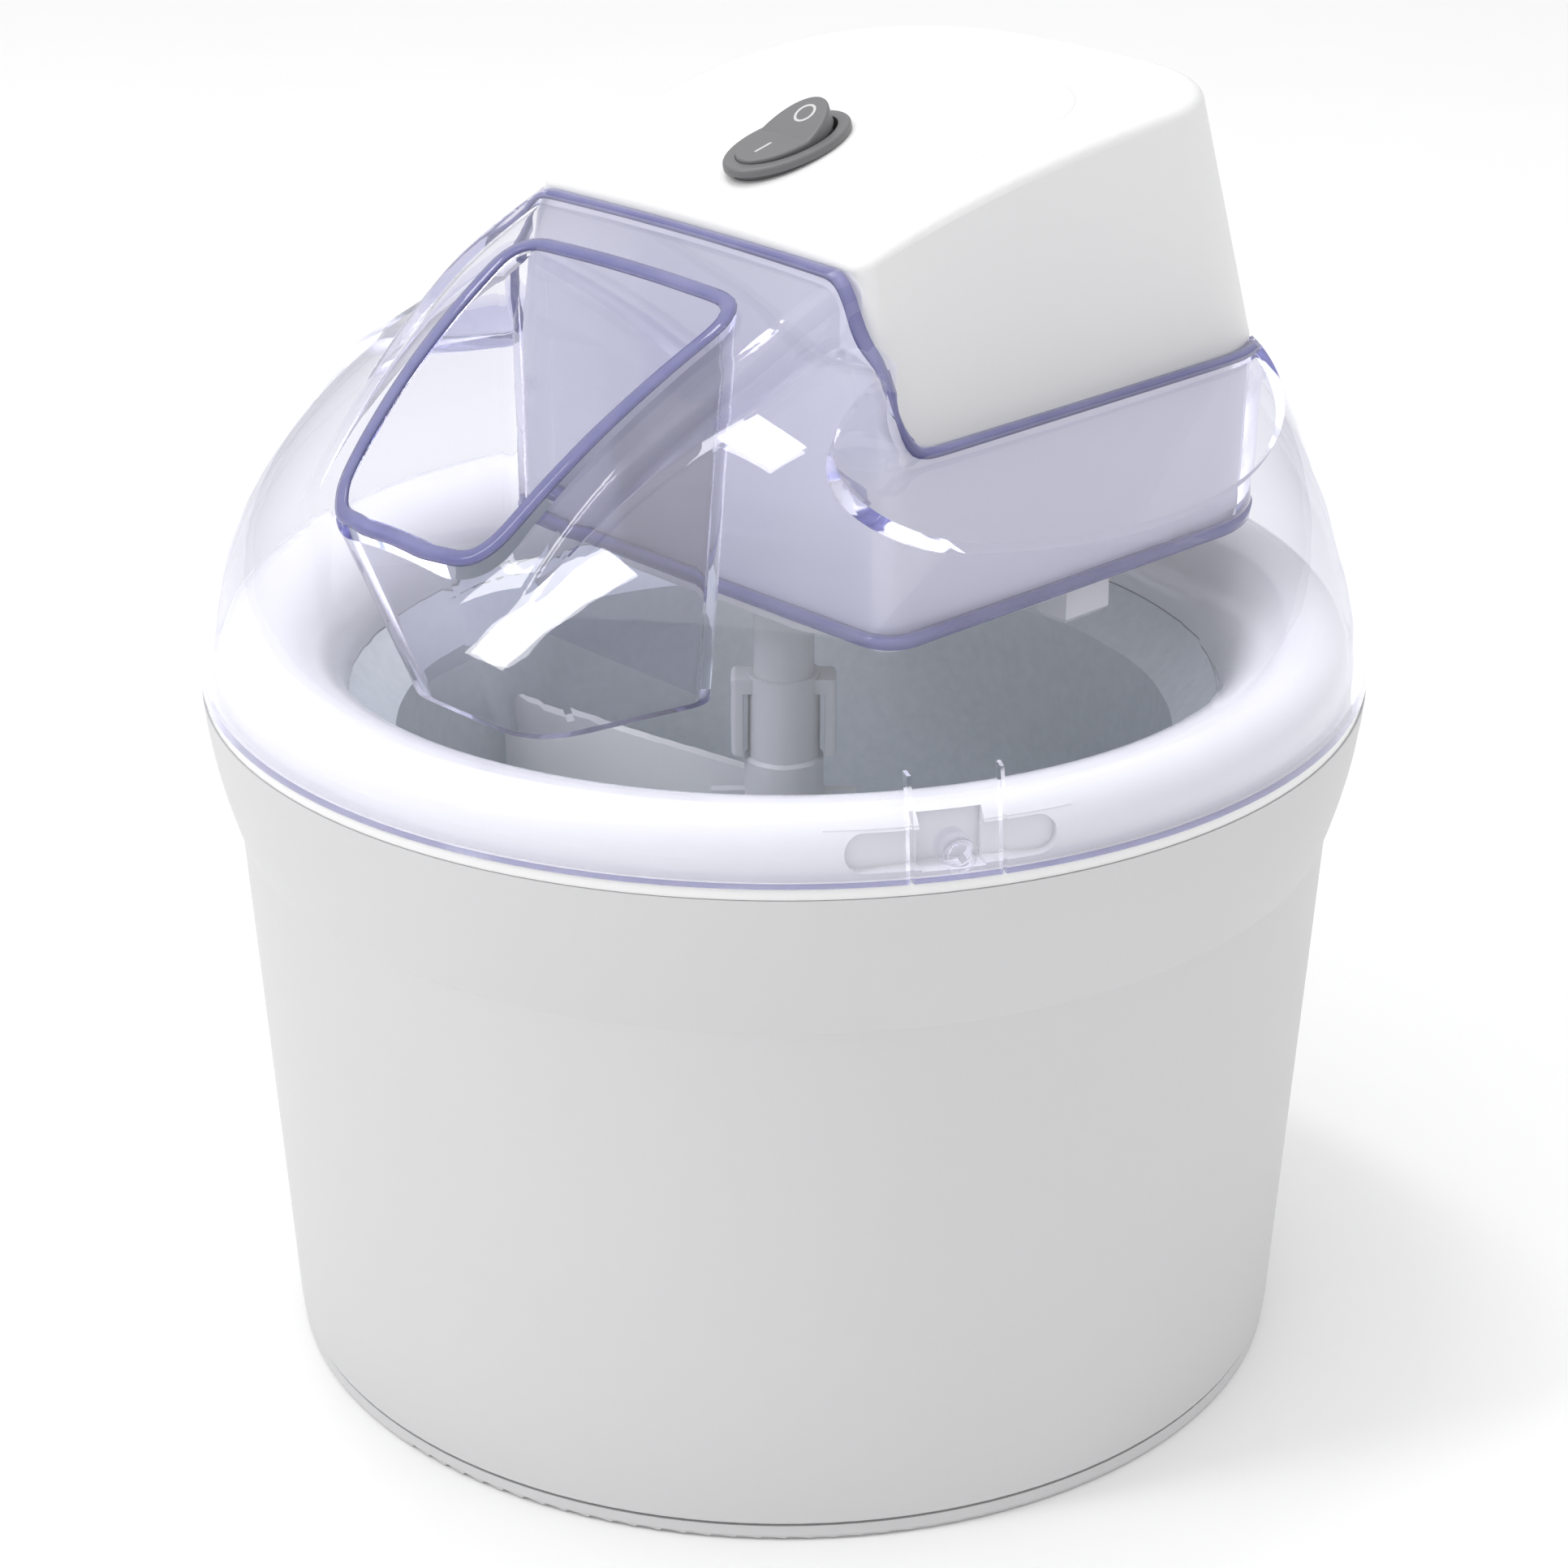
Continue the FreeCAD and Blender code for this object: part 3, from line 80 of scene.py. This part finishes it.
# Motor unit's plan: front, widening towards the rear and the bends of its corners.
MOTOR_FRONT, MOTOR_FLARE = -22.0 * MM, 0.6 * MM
MOTOR_BEND_FRONT, MOTOR_BEND_REAR = 4 * MM, 22.5 * MM
WELL_GROW, WELL_STEP = 1.7 * MM, 1.0 * MM
LIP_EASE, LIP_NORMAL_EASE = 9, 14
LIP_HALF, LIP_REAR, LIP_STRIP = 49.3 * MM, 85.7 * MM, (1.35 * MM, 0.2 * MM, 1.2 * MM)
FOOT_HALF, FOOT_REAR, FOOT_STRIP = 49.0 * MM, 84.8 * MM, (1.3 * MM, 0.9 * MM, 1.6 * MM)
FOOT_LEVEL = 153.0 * MM

# Step line on the motor unit's roof: an open line round the rear.
ROOF_HALF, ROOF_REAR, ROOF_END, ROOF_STEP = 34 * MM, 53 * MM, 14 * MM, 1.2 * MM
ROOF_BEND, ROOF_BEND_FRONT, ROOF_STRIP = 24 * MM, 8 * MM, (0.35 * MM, 0.09 * MM, 0.2 * MM)

FLOOR_HALF = 6.0
SKY_LOW, SKY_HIGH, SKY_FULL_AT = (0.52, 0.52, 0.535, 1), (1, 1, 1, 1), 0.75
LAMPS = (  # name, place, aim, size, watts
    ("top_softbox", (0.1, -0.2, 1.5), (0, 0, 0.1), (1.4, 1.4), 3.4),
    ("nose_strip", (-0.30, -0.02, 1.35), (0.04, -0.05, 0.2), (0.12, 0.5), 2.4),
    ("front_softbox", (-0.30, -0.95, 1.15), (0.03, -0.08, 0.18), (0.22, 0.8), 5.0),
)
CAMERA_PLACE, CAMERA_TILT, CAMERA_TURN = (0.4699, -0.4506, 0.3901), 66.345, 46.2
CAMERA_SENSOR, CAMERA_LENS = 36.0, 86.04


# ---------------------------------------------------------------- materials

class Surface:
    """Builds one node material around a Principled shader."""

    def __init__(self, name, roughness, metallic=0.0, ior=1.5, coat=0.0):
        self.material = bpy.data.materials.new(name)
        self.material.use_nodes = True
        self.tree = self.material.node_tree
        self.shader = self.tree.nodes["Principled BSDF"]
        self.output = self.tree.nodes["Material Output"]
        self.shader.inputs["Roughness"].default_value = roughness
        self.shader.inputs["Metallic"].default_value = metallic
        self.shader.inputs["IOR"].default_value = ior
        self.shader.inputs["Coat Weight"].default_value = coat
        self.height = None

    def node(self, kind, **values):
        made = self.tree.nodes.new(kind)
        for key, value in values.items():
            if key in made.inputs:
                made.inputs[key].default_value = value
            else:
                setattr(made, key, value)
        return made

    def link(self, source, target):
        self.tree.links.new(source, target)

    def place(self, stretch=(1, 1, 1)):
        """Object coordinates, stretched along each axis."""
        coordinates = self.node("ShaderNodeTexCoord")
        mapping = self.node("ShaderNodeMapping", Scale=stretch)
        self.link(coordinates.outputs["Object"], mapping.inputs["Vector"])
        return mapping.outputs["Vector"]

    def noise(self, scale, detail=3.0, stretch=(1, 1, 1), rough=0.5):
        made = self.node("ShaderNodeTexNoise", Scale=scale, Detail=detail, Roughness=rough)
        self.link(self.place(stretch), made.inputs["Vector"])
        return made.outputs["Fac"]

    def span(self, value, low, high):
        made = self.node("ShaderNodeMapRange")
        made.inputs["To Min"].default_value = low
        made.inputs["To Max"].default_value = high
        self.link(value, made.inputs["Value"])
        return made.outputs["Result"]

    def colours(self, value, first, second):
        ramp = self.node("ShaderNodeValToRGB")
        ramp.color_ramp.elements[0].position = 0.3
        ramp.color_ramp.elements[1].position = 0.7
        ramp.color_ramp.elements[0].color = (*first, 1)
        ramp.color_ramp.elements[1].color = (*second, 1)
        self.link(value, ramp.inputs["Fac"])
        self.link(ramp.outputs["Color"], self.shader.inputs["Base Color"])

    def roughness(self, value, low, high):
        self.link(self.span(value, low, high), self.shader.inputs["Roughness"])

    def relief(self, value, distance, strength):
        """Adds one more layer of bump."""
        bump = self.node("ShaderNodeBump", Strength=strength, Distance=distance)
        self.link(value, bump.inputs["Height"])
        if self.height is not None:
            self.link(self.height, bump.inputs["Normal"])
        self.height = bump.outputs["Normal"]
        self.link(self.height, self.shader.inputs["Normal"])


def moulded(name, first, second, roughness, grain=0.000015, coat=0.0, scale=1400.0):
    """Moulded plastic: faint cloudiness, fine spark-erosion grain and handling marks in the gloss."""
    low, high = roughness
    made = Surface(name, low, ior=1.49, coat=coat)
    made.colours(made.noise(14.0, 4.0), first, second)
    made.roughness(made.noise(55.0, 5.0), low, high)
    made.relief(made.noise(scale, 2.0), grain, 0.5)
    made.relief(made.noise(22.0, 2.0), 0.00008, 0.25)
    return made


def clear_material():
    """Clear plastic with a faint violet tint; the coat carries its gloss."""
    made = Surface("clear_plastic", 0.02, ior=CLEAR_INDEX, coat=1.0)
    made.shader.inputs["Transmission Weight"].default_value = 1.0
    made.shader.inputs["Base Color"].default_value = (0.975, 0.975, 0.99, 1)
    made.shader.inputs["Coat Roughness"].default_value = 0.015
    made.roughness(made.noise(35.0, 4.0), 0.0, 0.02)
    made.relief(made.noise(16.0, 2.0), 0.0002, 0.25)
    tint_inside(made)
    return lamps_through(made, CAUGHT_DEPTH)


def painted_edge_shade_material():
    """The same plastic where a wall ends, in painted shade: a dark violet base colour stands in for
    light that ran along the wall and left it violet.
    """
    made = Surface("clear_plastic_edge_painted_shade", 0.12, ior=CLEAR_INDEX, coat=0.6)
    made.shader.inputs["Transmission Weight"].default_value = 0.35
    # Painted shade: this dark violet base colour stands in for the light lost along the wall.
    made.colours(made.noise(90.0, 3.0), (0.205, 0.205, 0.41), (0.27, 0.27, 0.47))
    made.relief(made.noise(60.0, 2.0), 0.0002, 0.3)
    tint_inside(made)
    return lamps_through(made)


def tint_inside(made):
    """Violet tint that grows with the way through the plastic."""
    absorb = made.node("ShaderNodeVolumeAbsorption", Color=CLEAR_TINT, Density=CLEAR_DENSITY)
    made.link(absorb.outputs["Volume"], made.output.inputs["Volume"])


def lamps_through(made, caught_depth=None):
    """Lets the lamps' light through without a shadow, and rays caught between clear walls too."""
    ray = made.node("ShaderNodeLightPath")
    straight = ray.outputs["Is Shadow Ray"]
    if caught_depth is not None:
        caught = made.node("ShaderNodeMath", operation="GREATER_THAN")
        caught.inputs[1].default_value = caught_depth
        made.link(ray.outputs["Ray Depth"], caught.inputs[0])
        either = made.node("ShaderNodeMath", operation="MAXIMUM")
        made.link(straight, either.inputs[0])
        made.link(caught.outputs["Value"], either.inputs[1])
        straight = either.outputs["Value"]
    pass_on = made.node("ShaderNodeBsdfTransparent", Color=(0.93, 0.93, 0.96, 1))
    mix = made.node("ShaderNodeMixShader")
    made.link(straight, mix.inputs["Fac"])
    made.link(made.shader.outputs["BSDF"], mix.inputs[1])
    made.link(pass_on.outputs["BSDF"], mix.inputs[2])
    made.link(mix.outputs["Shader"], made.output.inputs["Surface"])
    return made


def milky_material():
    """Natural polypropylene: waxy and slightly see-through."""
    made = moulded("milky_plastic", (0.80, 0.82, 0.81), (0.86, 0.87, 0.86), (0.28, 0.42))
    made.shader.inputs["Transmission Weight"].default_value = 0.25
    made.shader.inputs["Subsurface Weight"].default_value = 0.4
    made.shader.inputs["Subsurface Radius"].default_value = (0.004, 0.004, 0.004)
    return made


def anodised_material():
    """Pressed aluminium with a matt blue-grey anodised skin and drawing lines round the wall."""
    made = Surface("liner_aluminium", 0.4, metallic=0.4)
    made.colours(made.noise(380.0, 6.0, rough=0.7), (0.72, 0.765, 0.785), (0.81, 0.85, 0.87))
    made.roughness(made.noise(150.0, 4.0), 0.34, 0.5)
    made.relief(made.noise(900.0, 3.0), 0.00003, 0.5)
    made.relief(made.noise(6.0, 3.0, (1, 1, 160)), 0.00003, 0.3)
    return made


def metal(name, first, second, roughness, stretch=(1, 1, 1), scale=260.0, lines=0.00002):
    """Bare metal with machining lines along the unstretched direction."""
    made = Surface(name, roughness[0], metallic=1.0)
    made.colours(made.noise(40.0, 5.0), first, second)
    made.roughness(made.noise(scale, 4.0, stretch), *roughness)
    made.relief(made.noise(scale, 3.0, stretch), lines, 0.6)
    return made


def gel_material():
    made = Surface("gel", 0.3, ior=1.36)
    made.colours(made.noise(30.0, 4.0), (0.30, 0.52, 0.68), (0.36, 0.58, 0.72))
    made.roughness(made.noise(80.0), 0.2, 0.4)
    made.shader.inputs["Subsurface Weight"].default_value = 0.3
    made.relief(made.noise(60.0), 0.0002, 0.4)
    return made


WHITE = moulded("white_plastic", (0.80, 0.80, 0.80), (0.815, 0.815, 0.815), (0.30, 0.40))
PAIL = moulded("pail_plastic", (0.61, 0.61, 0.615), (0.625, 0.625, 0.63), (0.36, 0.46), scale=1800.0)
GLOSS = moulded("gloss_plastic", (0.84, 0.84, 0.84), (0.85, 0.85, 0.85), (0.10, 0.16), 0.000004, 0.3)
CLEAR = clear_material()
# Wall ends of the lid, in painted dark violet shade.
CLEAR_EDGE_PAINTED_SHADE = painted_edge_shade_material()
LINER = anodised_material()
MILKY = milky_material()
GREY = moulded("grey_plastic", (0.145, 0.145, 0.15), (0.165, 0.165, 0.17), (0.36, 0.48), 0.00003)
MARK = moulded("mark_print", (0.55, 0.55, 0.55), (0.60, 0.60, 0.60), (0.4, 0.5))
SOFT = moulded("soft_plastic", (0.70, 0.70, 0.70), (0.74, 0.74, 0.74), (0.5, 0.65), 0.00004)
ACETAL = moulded("gear_plastic", (0.80, 0.78, 0.70), (0.85, 0.83, 0.76), (0.25, 0.35))
STEEL = metal("zinc_steel", (0.56, 0.56, 0.57), (0.66, 0.66, 0.67), (0.25, 0.4), (1, 1, 8))
LAMINATED = metal("laminated_steel", (0.38, 0.38, 0.40), (0.52, 0.52, 0.54), (0.35, 0.5),
                  (1, 1, 60), 30.0, 0.0002)
COPPER = metal("enamelled_copper", (0.55, 0.20, 0.08), (0.78, 0.33, 0.14), (0.2, 0.32),
               (1, 1, 14), 90.0, 0.0004)
BRASS = metal("turned_brass", (0.66, 0.48, 0.20), (0.76, 0.58, 0.28), (0.22, 0.36), (1, 1, 20))
GEL = gel_material()

DRESS = {
    WHITE: ("motor_housing", "motor_floor", "bowl_outer_shell", "bowl_fill_plug"),
    PAIL: ("outer_housing", "base_plate"),
    GLOSS: ("bowl_rim",),
    CLEAR: ("clear_lid",),
    LINER: ("bowl_liner",),
    MILKY: ("drive_shaft", "stirrer_paddle"),
    GREY: ("switch_rocker", "switch_bezel"),
    SOFT: ("cord_inlet_gland",),
    ACETAL: ("output_gear", "output_coupler", "idler_gear", "output_bush"),
    STEEL: ("idler_pin", "gearbox_chassis", "motor_can", "motor_shaft", "housing_screws",
            "chassis_screws", "motor_screws"),
    LAMINATED: ("stator_core", "rotor_core"),
    COPPER: ("field_coils",),
    BRASS: ("switch_terminals", "motor_pinion"),
    GEL: ("coolant_gel",),
}
for surface, names in DRESS.items():
    for name in names:
        slots = NODES[name].data.materials
        slots.clear()
        slots.append(surface.material)
        for polygon in NODES[name].data.polygons:
            polygon.material_index = 0


def dress_lid_foot():
    """Gives the lid's flat lower end the edge material with its painted dark violet shade."""
    mesh = NODES["clear_lid"].data
    mesh.materials.append(CLEAR_EDGE_PAINTED_SHADE.material)
    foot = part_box("clear_lid")[0].z + 0.1 * MM
    for polygon in mesh.polygons:
        if polygon.center.z < foot:
            polygon.material_index = 1


dress_lid_foot()


# ---------------------------------------------------------------- small pieces

def mesh_piece(name, work, surface, body):
    """Makes an object from a bmesh, dresses it and lets it ride on a body."""
    mesh = bpy.data.meshes.new(name)
    bmesh.ops.recalc_face_normals(work, faces=work.faces)
    work.to_mesh(mesh)
    work.free()
    for polygon in mesh.polygons:
        polygon.use_smooth = True
    piece = bpy.data.objects.new(name, mesh)
    bpy.context.scene.collection.objects.link(piece)
    mesh.materials.append(surface.material)
    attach(piece, body)


def skin_of(node):
    mesh = NODES[node].data
    return BVHTree.FromPolygons([v.co.copy() for v in mesh.vertices],
                                [tuple(p.vertices) for p in mesh.polygons])


def dropped(skin, x, y):
    """Point and normal of the skin under a plan position."""
    start = Vector((x, y, cad_box[1].z + 0.1))
    point, normal, _, _ = skin.ray_cast(start, Vector((0, 0, -1)))
    return point, normal


def laid_on(skin, line):
    """Points and normals of the skin under each plan position of a line."""
    found = [dropped(skin, x, y) for x, y in line]
    return [point for point, _ in found], [normal for _, normal in found]


def ribbon(name, points, normals, strip, surface, body, closed=True):
    """Low domed strip that lies on a skin along a line."""
    half_width, rise, sink = strip
    work = bmesh.new()
    rings = []
    count = len(points)
    for i, (point, normal) in enumerate(zip(points, normals)):
        before = points[i - 1] if (closed or i) else points[i]
        after = points[(i + 1) % count] if (closed or i < count - 1) else points[i]
        side = (after - before).cross(normal).normalized() * half_width
        profile = ((-1.0, -sink), (-0.8, rise * 0.6), (0.0, rise), (0.8, rise * 0.6), (1.0, -sink))
        rings.append([work.verts.new(point + side * a + normal * b) for a, b in profile])
    steps = range(count) if closed else range(count - 1)
    for i in steps:
        one, two = rings[i], rings[(i + 1) % count]
        for j in range(len(one)):
            k = (j + 1) % len(one)
            work.faces.new((one[j], one[k], two[k], two[j]))
    if not closed:
        work.faces.new(rings[0])
        work.faces.new(rings[-1][::-1])
    mesh_piece(name, work, surface, body)


def rocker_marks():
    """Printed marks on the rocker: a bar on the pressed end and a ring on the raised end."""
    skin = skin_of("switch_rocker")
    low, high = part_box("switch_rocker")
    middle = (low.y + high.y) / 2
    turns = [math.tau * i / RING_POINTS for i in range(RING_POINTS)]
    ring = [(RING_RADIUS * math.cos(turn), middle + RING_OUT + RING_RADIUS * math.sin(turn))
            for turn in turns]
    bar = [(0.0, middle - BAR_OUT + BAR_STEP * i) for i in range(BAR_POINTS)]
    for name, line, closed in (("rocker_mark_ring", ring, True), ("rocker_mark_bar", bar, False)):
        points, normals = laid_on(skin, line)
        ribbon(name, points, normals, MARK_STRIP, MARK, "rocker", closed)


rocker_marks()


def rounded_outline(corners, bends, step):
    """Plan points along straight sides whose corners are rounded by arcs."""
    points = []
    count = len(corners)
    for i in range(count):
        corner, bend = corners[i], bends[i]
        to_last = (corners[i - 1] - corner).normalized()
        to_next = (corners[(i + 1) % count] - corner).normalized()
        half = to_last.angle(to_next) / 2
        centre = corner + (to_last + to_next).normalized() * (bend / math.sin(half))
        start = corner + to_last * (bend / math.tan(half)) - centre
        sweep = -to_last.cross(to_next)
        turn = math.copysign(math.pi - 2 * half, sweep)
        pieces = max(6, int(bend * abs(turn) / step))
        for j in range(pieces + 1):
            points.append(centre + Matrix.Rotation(turn * j / pieces, 2) @ start)
    return evened(points, step)


def evened(points, step):
    """The same closed plan line with points at even distances."""
    runs, total = [0.0], 0.0
    closed = points + points[:1]
    for one, two in zip(closed, closed[1:]):
        total += (two - one).length
        runs.append(total)
    count, made, at = int(total / step), [], 0
    for i in range(count):
        goal = total * i / count
        while runs[at + 1] < goal:
            at += 1
        share = (goal - runs[at]) / max(runs[at + 1] - runs[at], 1e-9)
        made.append(closed[at].lerp(closed[at + 1], share))
    return made


def between(pair, share):
    """Value that share of the way from the first to the second."""
    return pair[0] + (pair[1] - pair[0]) * share


def chute_outline(level, grow):
    """Plan of the filling chute, wider towards its mouth."""
    climb = (level - CHUTE_LEVEL[0]) / (CHUTE_LEVEL[1] - CHUTE_LEVEL[0])
    back, front = between(CHUTE_BACK, climb) + grow, between(CHUTE_FRONT, climb) - grow
    wide, slim = between(CHUTE_HALF_BACK, climb) + grow, between(CHUTE_HALF_FRONT, climb) + grow
    corners = [Vector((wide, back)), Vector((slim, front)), Vector((-slim, front)),
               Vector((-wide, back))]
    bend_back, bend_front = CHUTE_BEND_BACK + grow, CHUTE_BEND_FRONT + grow
    return rounded_outline(corners, [bend_back, bend_front, bend_front, bend_back], RIM_STEP)


def mouth_point(skin, outlines, i, count):
    """Point and normal where the i-th of count lines up the chute's wall comes out of the dome."""
    gaps = len(RIM_LEVELS) - 1
    best, nearest = None, math.inf
    for j in range(RIM_TRIES):
        at = j / (RIM_TRIES - 1) * gaps
        low = min(int(at), gaps - 1)
        ends = [outline[i * len(outline) // count] for outline in outlines[low:low + 2]]
        level = between(RIM_LEVELS[low:low + 2], at - low)
        place = ends[0].lerp(ends[1], at - low)
        point, normal = dropped(skin, place.x, place.y)
        if point is not None and abs(point.z - level) < nearest:
            best, nearest = (point, normal), abs(point.z - level)
    return best


def chute_rim():
    """Bead round the filling chute's mouth, where the slanted dome cuts the tapered chute."""
    skin = skin_of("clear_lid")
    outlines = [chute_outline(level, RIM_GROW) for level in RIM_LEVELS]
    count = min(len(outline) for outline in outlines)
    found = [mouth_point(skin, outlines, i, count) for i in range(count)]
    points = smoothed([point for point, _ in found], RIM_EASE)
    normals = smoothed([normal for _, normal in found], RIM_EASE)
    # The bead carries the painted dark violet shade of the wall's end.
    ribbon("filling_chute_rim", points, normals, RIM_STRIP, CLEAR_EDGE_PAINTED_SHADE, "lid")


def smoothed(values, times):
    """The same closed row with each value eased towards its neighbours."""
    for _ in range(times):
        count = len(values)
        values = [(values[i - 1] + values[i] * 2 + values[(i + 1) % count]) / 4
                  for i in range(count)]
    return values


def motor_outline(half, rear, grow):
    """Plan of the motor unit: flat front, nearly straight sides and a rounded rear."""
    wide, front, back = half + grow, MOTOR_FRONT - grow, rear + grow
    corners = [Vector((wide, front)), Vector((-wide, front)),
               Vector((-wide - MOTOR_FLARE, back)), Vector((wide + MOTOR_FLARE, back))]
    bend_front, bend_rear = MOTOR_BEND_FRONT + grow, MOTOR_BEND_REAR + grow
    return rounded_outline(corners, [bend_front, bend_front, bend_rear, bend_rear], WELL_STEP)


def well_lips():
    """Ends of the walls round the motor unit, the upper lip and the lower edge, in painted dark
    violet shade.
    """
    points, normals = laid_on(skin_of("clear_lid"), motor_outline(LIP_HALF, LIP_REAR, WELL_GROW))
    points, normals = smoothed(points, LIP_EASE), smoothed(normals, LIP_NORMAL_EASE)
    ribbon("motor_well_lip", points, normals, LIP_STRIP, CLEAR_EDGE_PAINTED_SHADE, "lid")
    foot = [place.to_3d() + Vector((0, 0, FOOT_LEVEL))
            for place in motor_outline(FOOT_HALF, FOOT_REAR, WELL_GROW)]
    down = [Vector((0, 0, -1))] * len(foot)
    ribbon("motor_well_foot", foot, down, FOOT_STRIP, CLEAR_EDGE_PAINTED_SHADE, "lid")


chute_rim()
well_lips()


def roof_line():
    """Fine step line inset from the rear of the motor unit's roof."""
    corners = [Vector((-ROOF_HALF, ROOF_REAR)), Vector((ROOF_HALF, ROOF_REAR)),
               Vector((ROOF_HALF, 0)), Vector((-ROOF_HALF, 0))]
    bends = [ROOF_BEND, ROOF_BEND, ROOF_BEND_FRONT, ROOF_BEND_FRONT]
    outline = rounded_outline(corners, bends, ROOF_STEP)
    line = [place for place in outline if place.y > ROOF_END]
    first = max(range(len(line)), key=lambda i: (line[i] - line[i - 1]).length)
    points, normals = laid_on(skin_of("motor_housing"), line[first:] + line[:first])
    ribbon("roof_step_line", points, normals, ROOF_STRIP, WHITE, "motor_unit",
           closed=False)


roof_line()


# ---------------------------------------------------------------- floor, lamps and camera

def sky():
    """Soft sky, darker at the horizon."""
    world = bpy.data.worlds.new("studio")
    bpy.context.scene.world = world
    world.use_nodes = True
    nodes, links = world.node_tree.nodes, world.node_tree.links
    coordinates = nodes.new("ShaderNodeTexCoord")
    split = nodes.new("ShaderNodeSeparateXYZ")
    ramp = nodes.new("ShaderNodeValToRGB")
    low, high = ramp.color_ramp.elements
    low.position, low.color = 0.0, SKY_LOW
    high.position, high.color = SKY_FULL_AT, SKY_HIGH
    links.new(coordinates.outputs["Generated"], split.inputs[0])
    links.new(split.outputs["Z"], ramp.inputs["Fac"])
    links.new(ramp.outputs["Color"], nodes["Background"].inputs["Color"])
    nodes["Background"].inputs["Strength"].default_value = 1.0


def pale_floor():
    """Wide sheet of white paper under the machine."""
    work = bmesh.new()
    bmesh.ops.create_grid(work, x_segments=8, y_segments=8, size=FLOOR_HALF)
    mesh = bpy.data.meshes.new("floor")
    work.to_mesh(mesh)
    work.free()
    floor = bpy.data.objects.new("floor", mesh)
    floor.location.z = cad_box[0].z
    bpy.context.scene.collection.objects.link(floor)
    paper = moulded("floor_paper", (0.93, 0.93, 0.93), (0.94, 0.94, 0.94), (0.6, 0.7), 0.00002)
    mesh.materials.append(paper.material)


def lamp(name, place, aim, size, power):
    data = bpy.data.lights.new(name, "AREA")
    data.shape, data.size, data.size_y = "RECTANGLE", *size
    data.energy = power
    made = bpy.data.objects.new(name, data)
    made.location = place
    made.rotation_euler = (Vector(aim) - Vector(place)).to_track_quat("-Z", "Y").to_euler()
    bpy.context.scene.collection.objects.link(made)


def camera():
    """Camera at the photograph's angle."""
    data = bpy.data.cameras.new("camera")
    data.sensor_width, data.lens = CAMERA_SENSOR, CAMERA_LENS
    made = bpy.data.objects.new("camera", data)
    made.location = CAMERA_PLACE
    made.rotation_euler = Euler((math.radians(CAMERA_TILT), 0, math.radians(CAMERA_TURN)))
    bpy.context.scene.collection.objects.link(made)
    bpy.context.scene.camera = made


sky()
pale_floor()
bpy.context.scene.view_settings.view_transform = "Standard"
for row in LAMPS:
    lamp(*row)
camera()
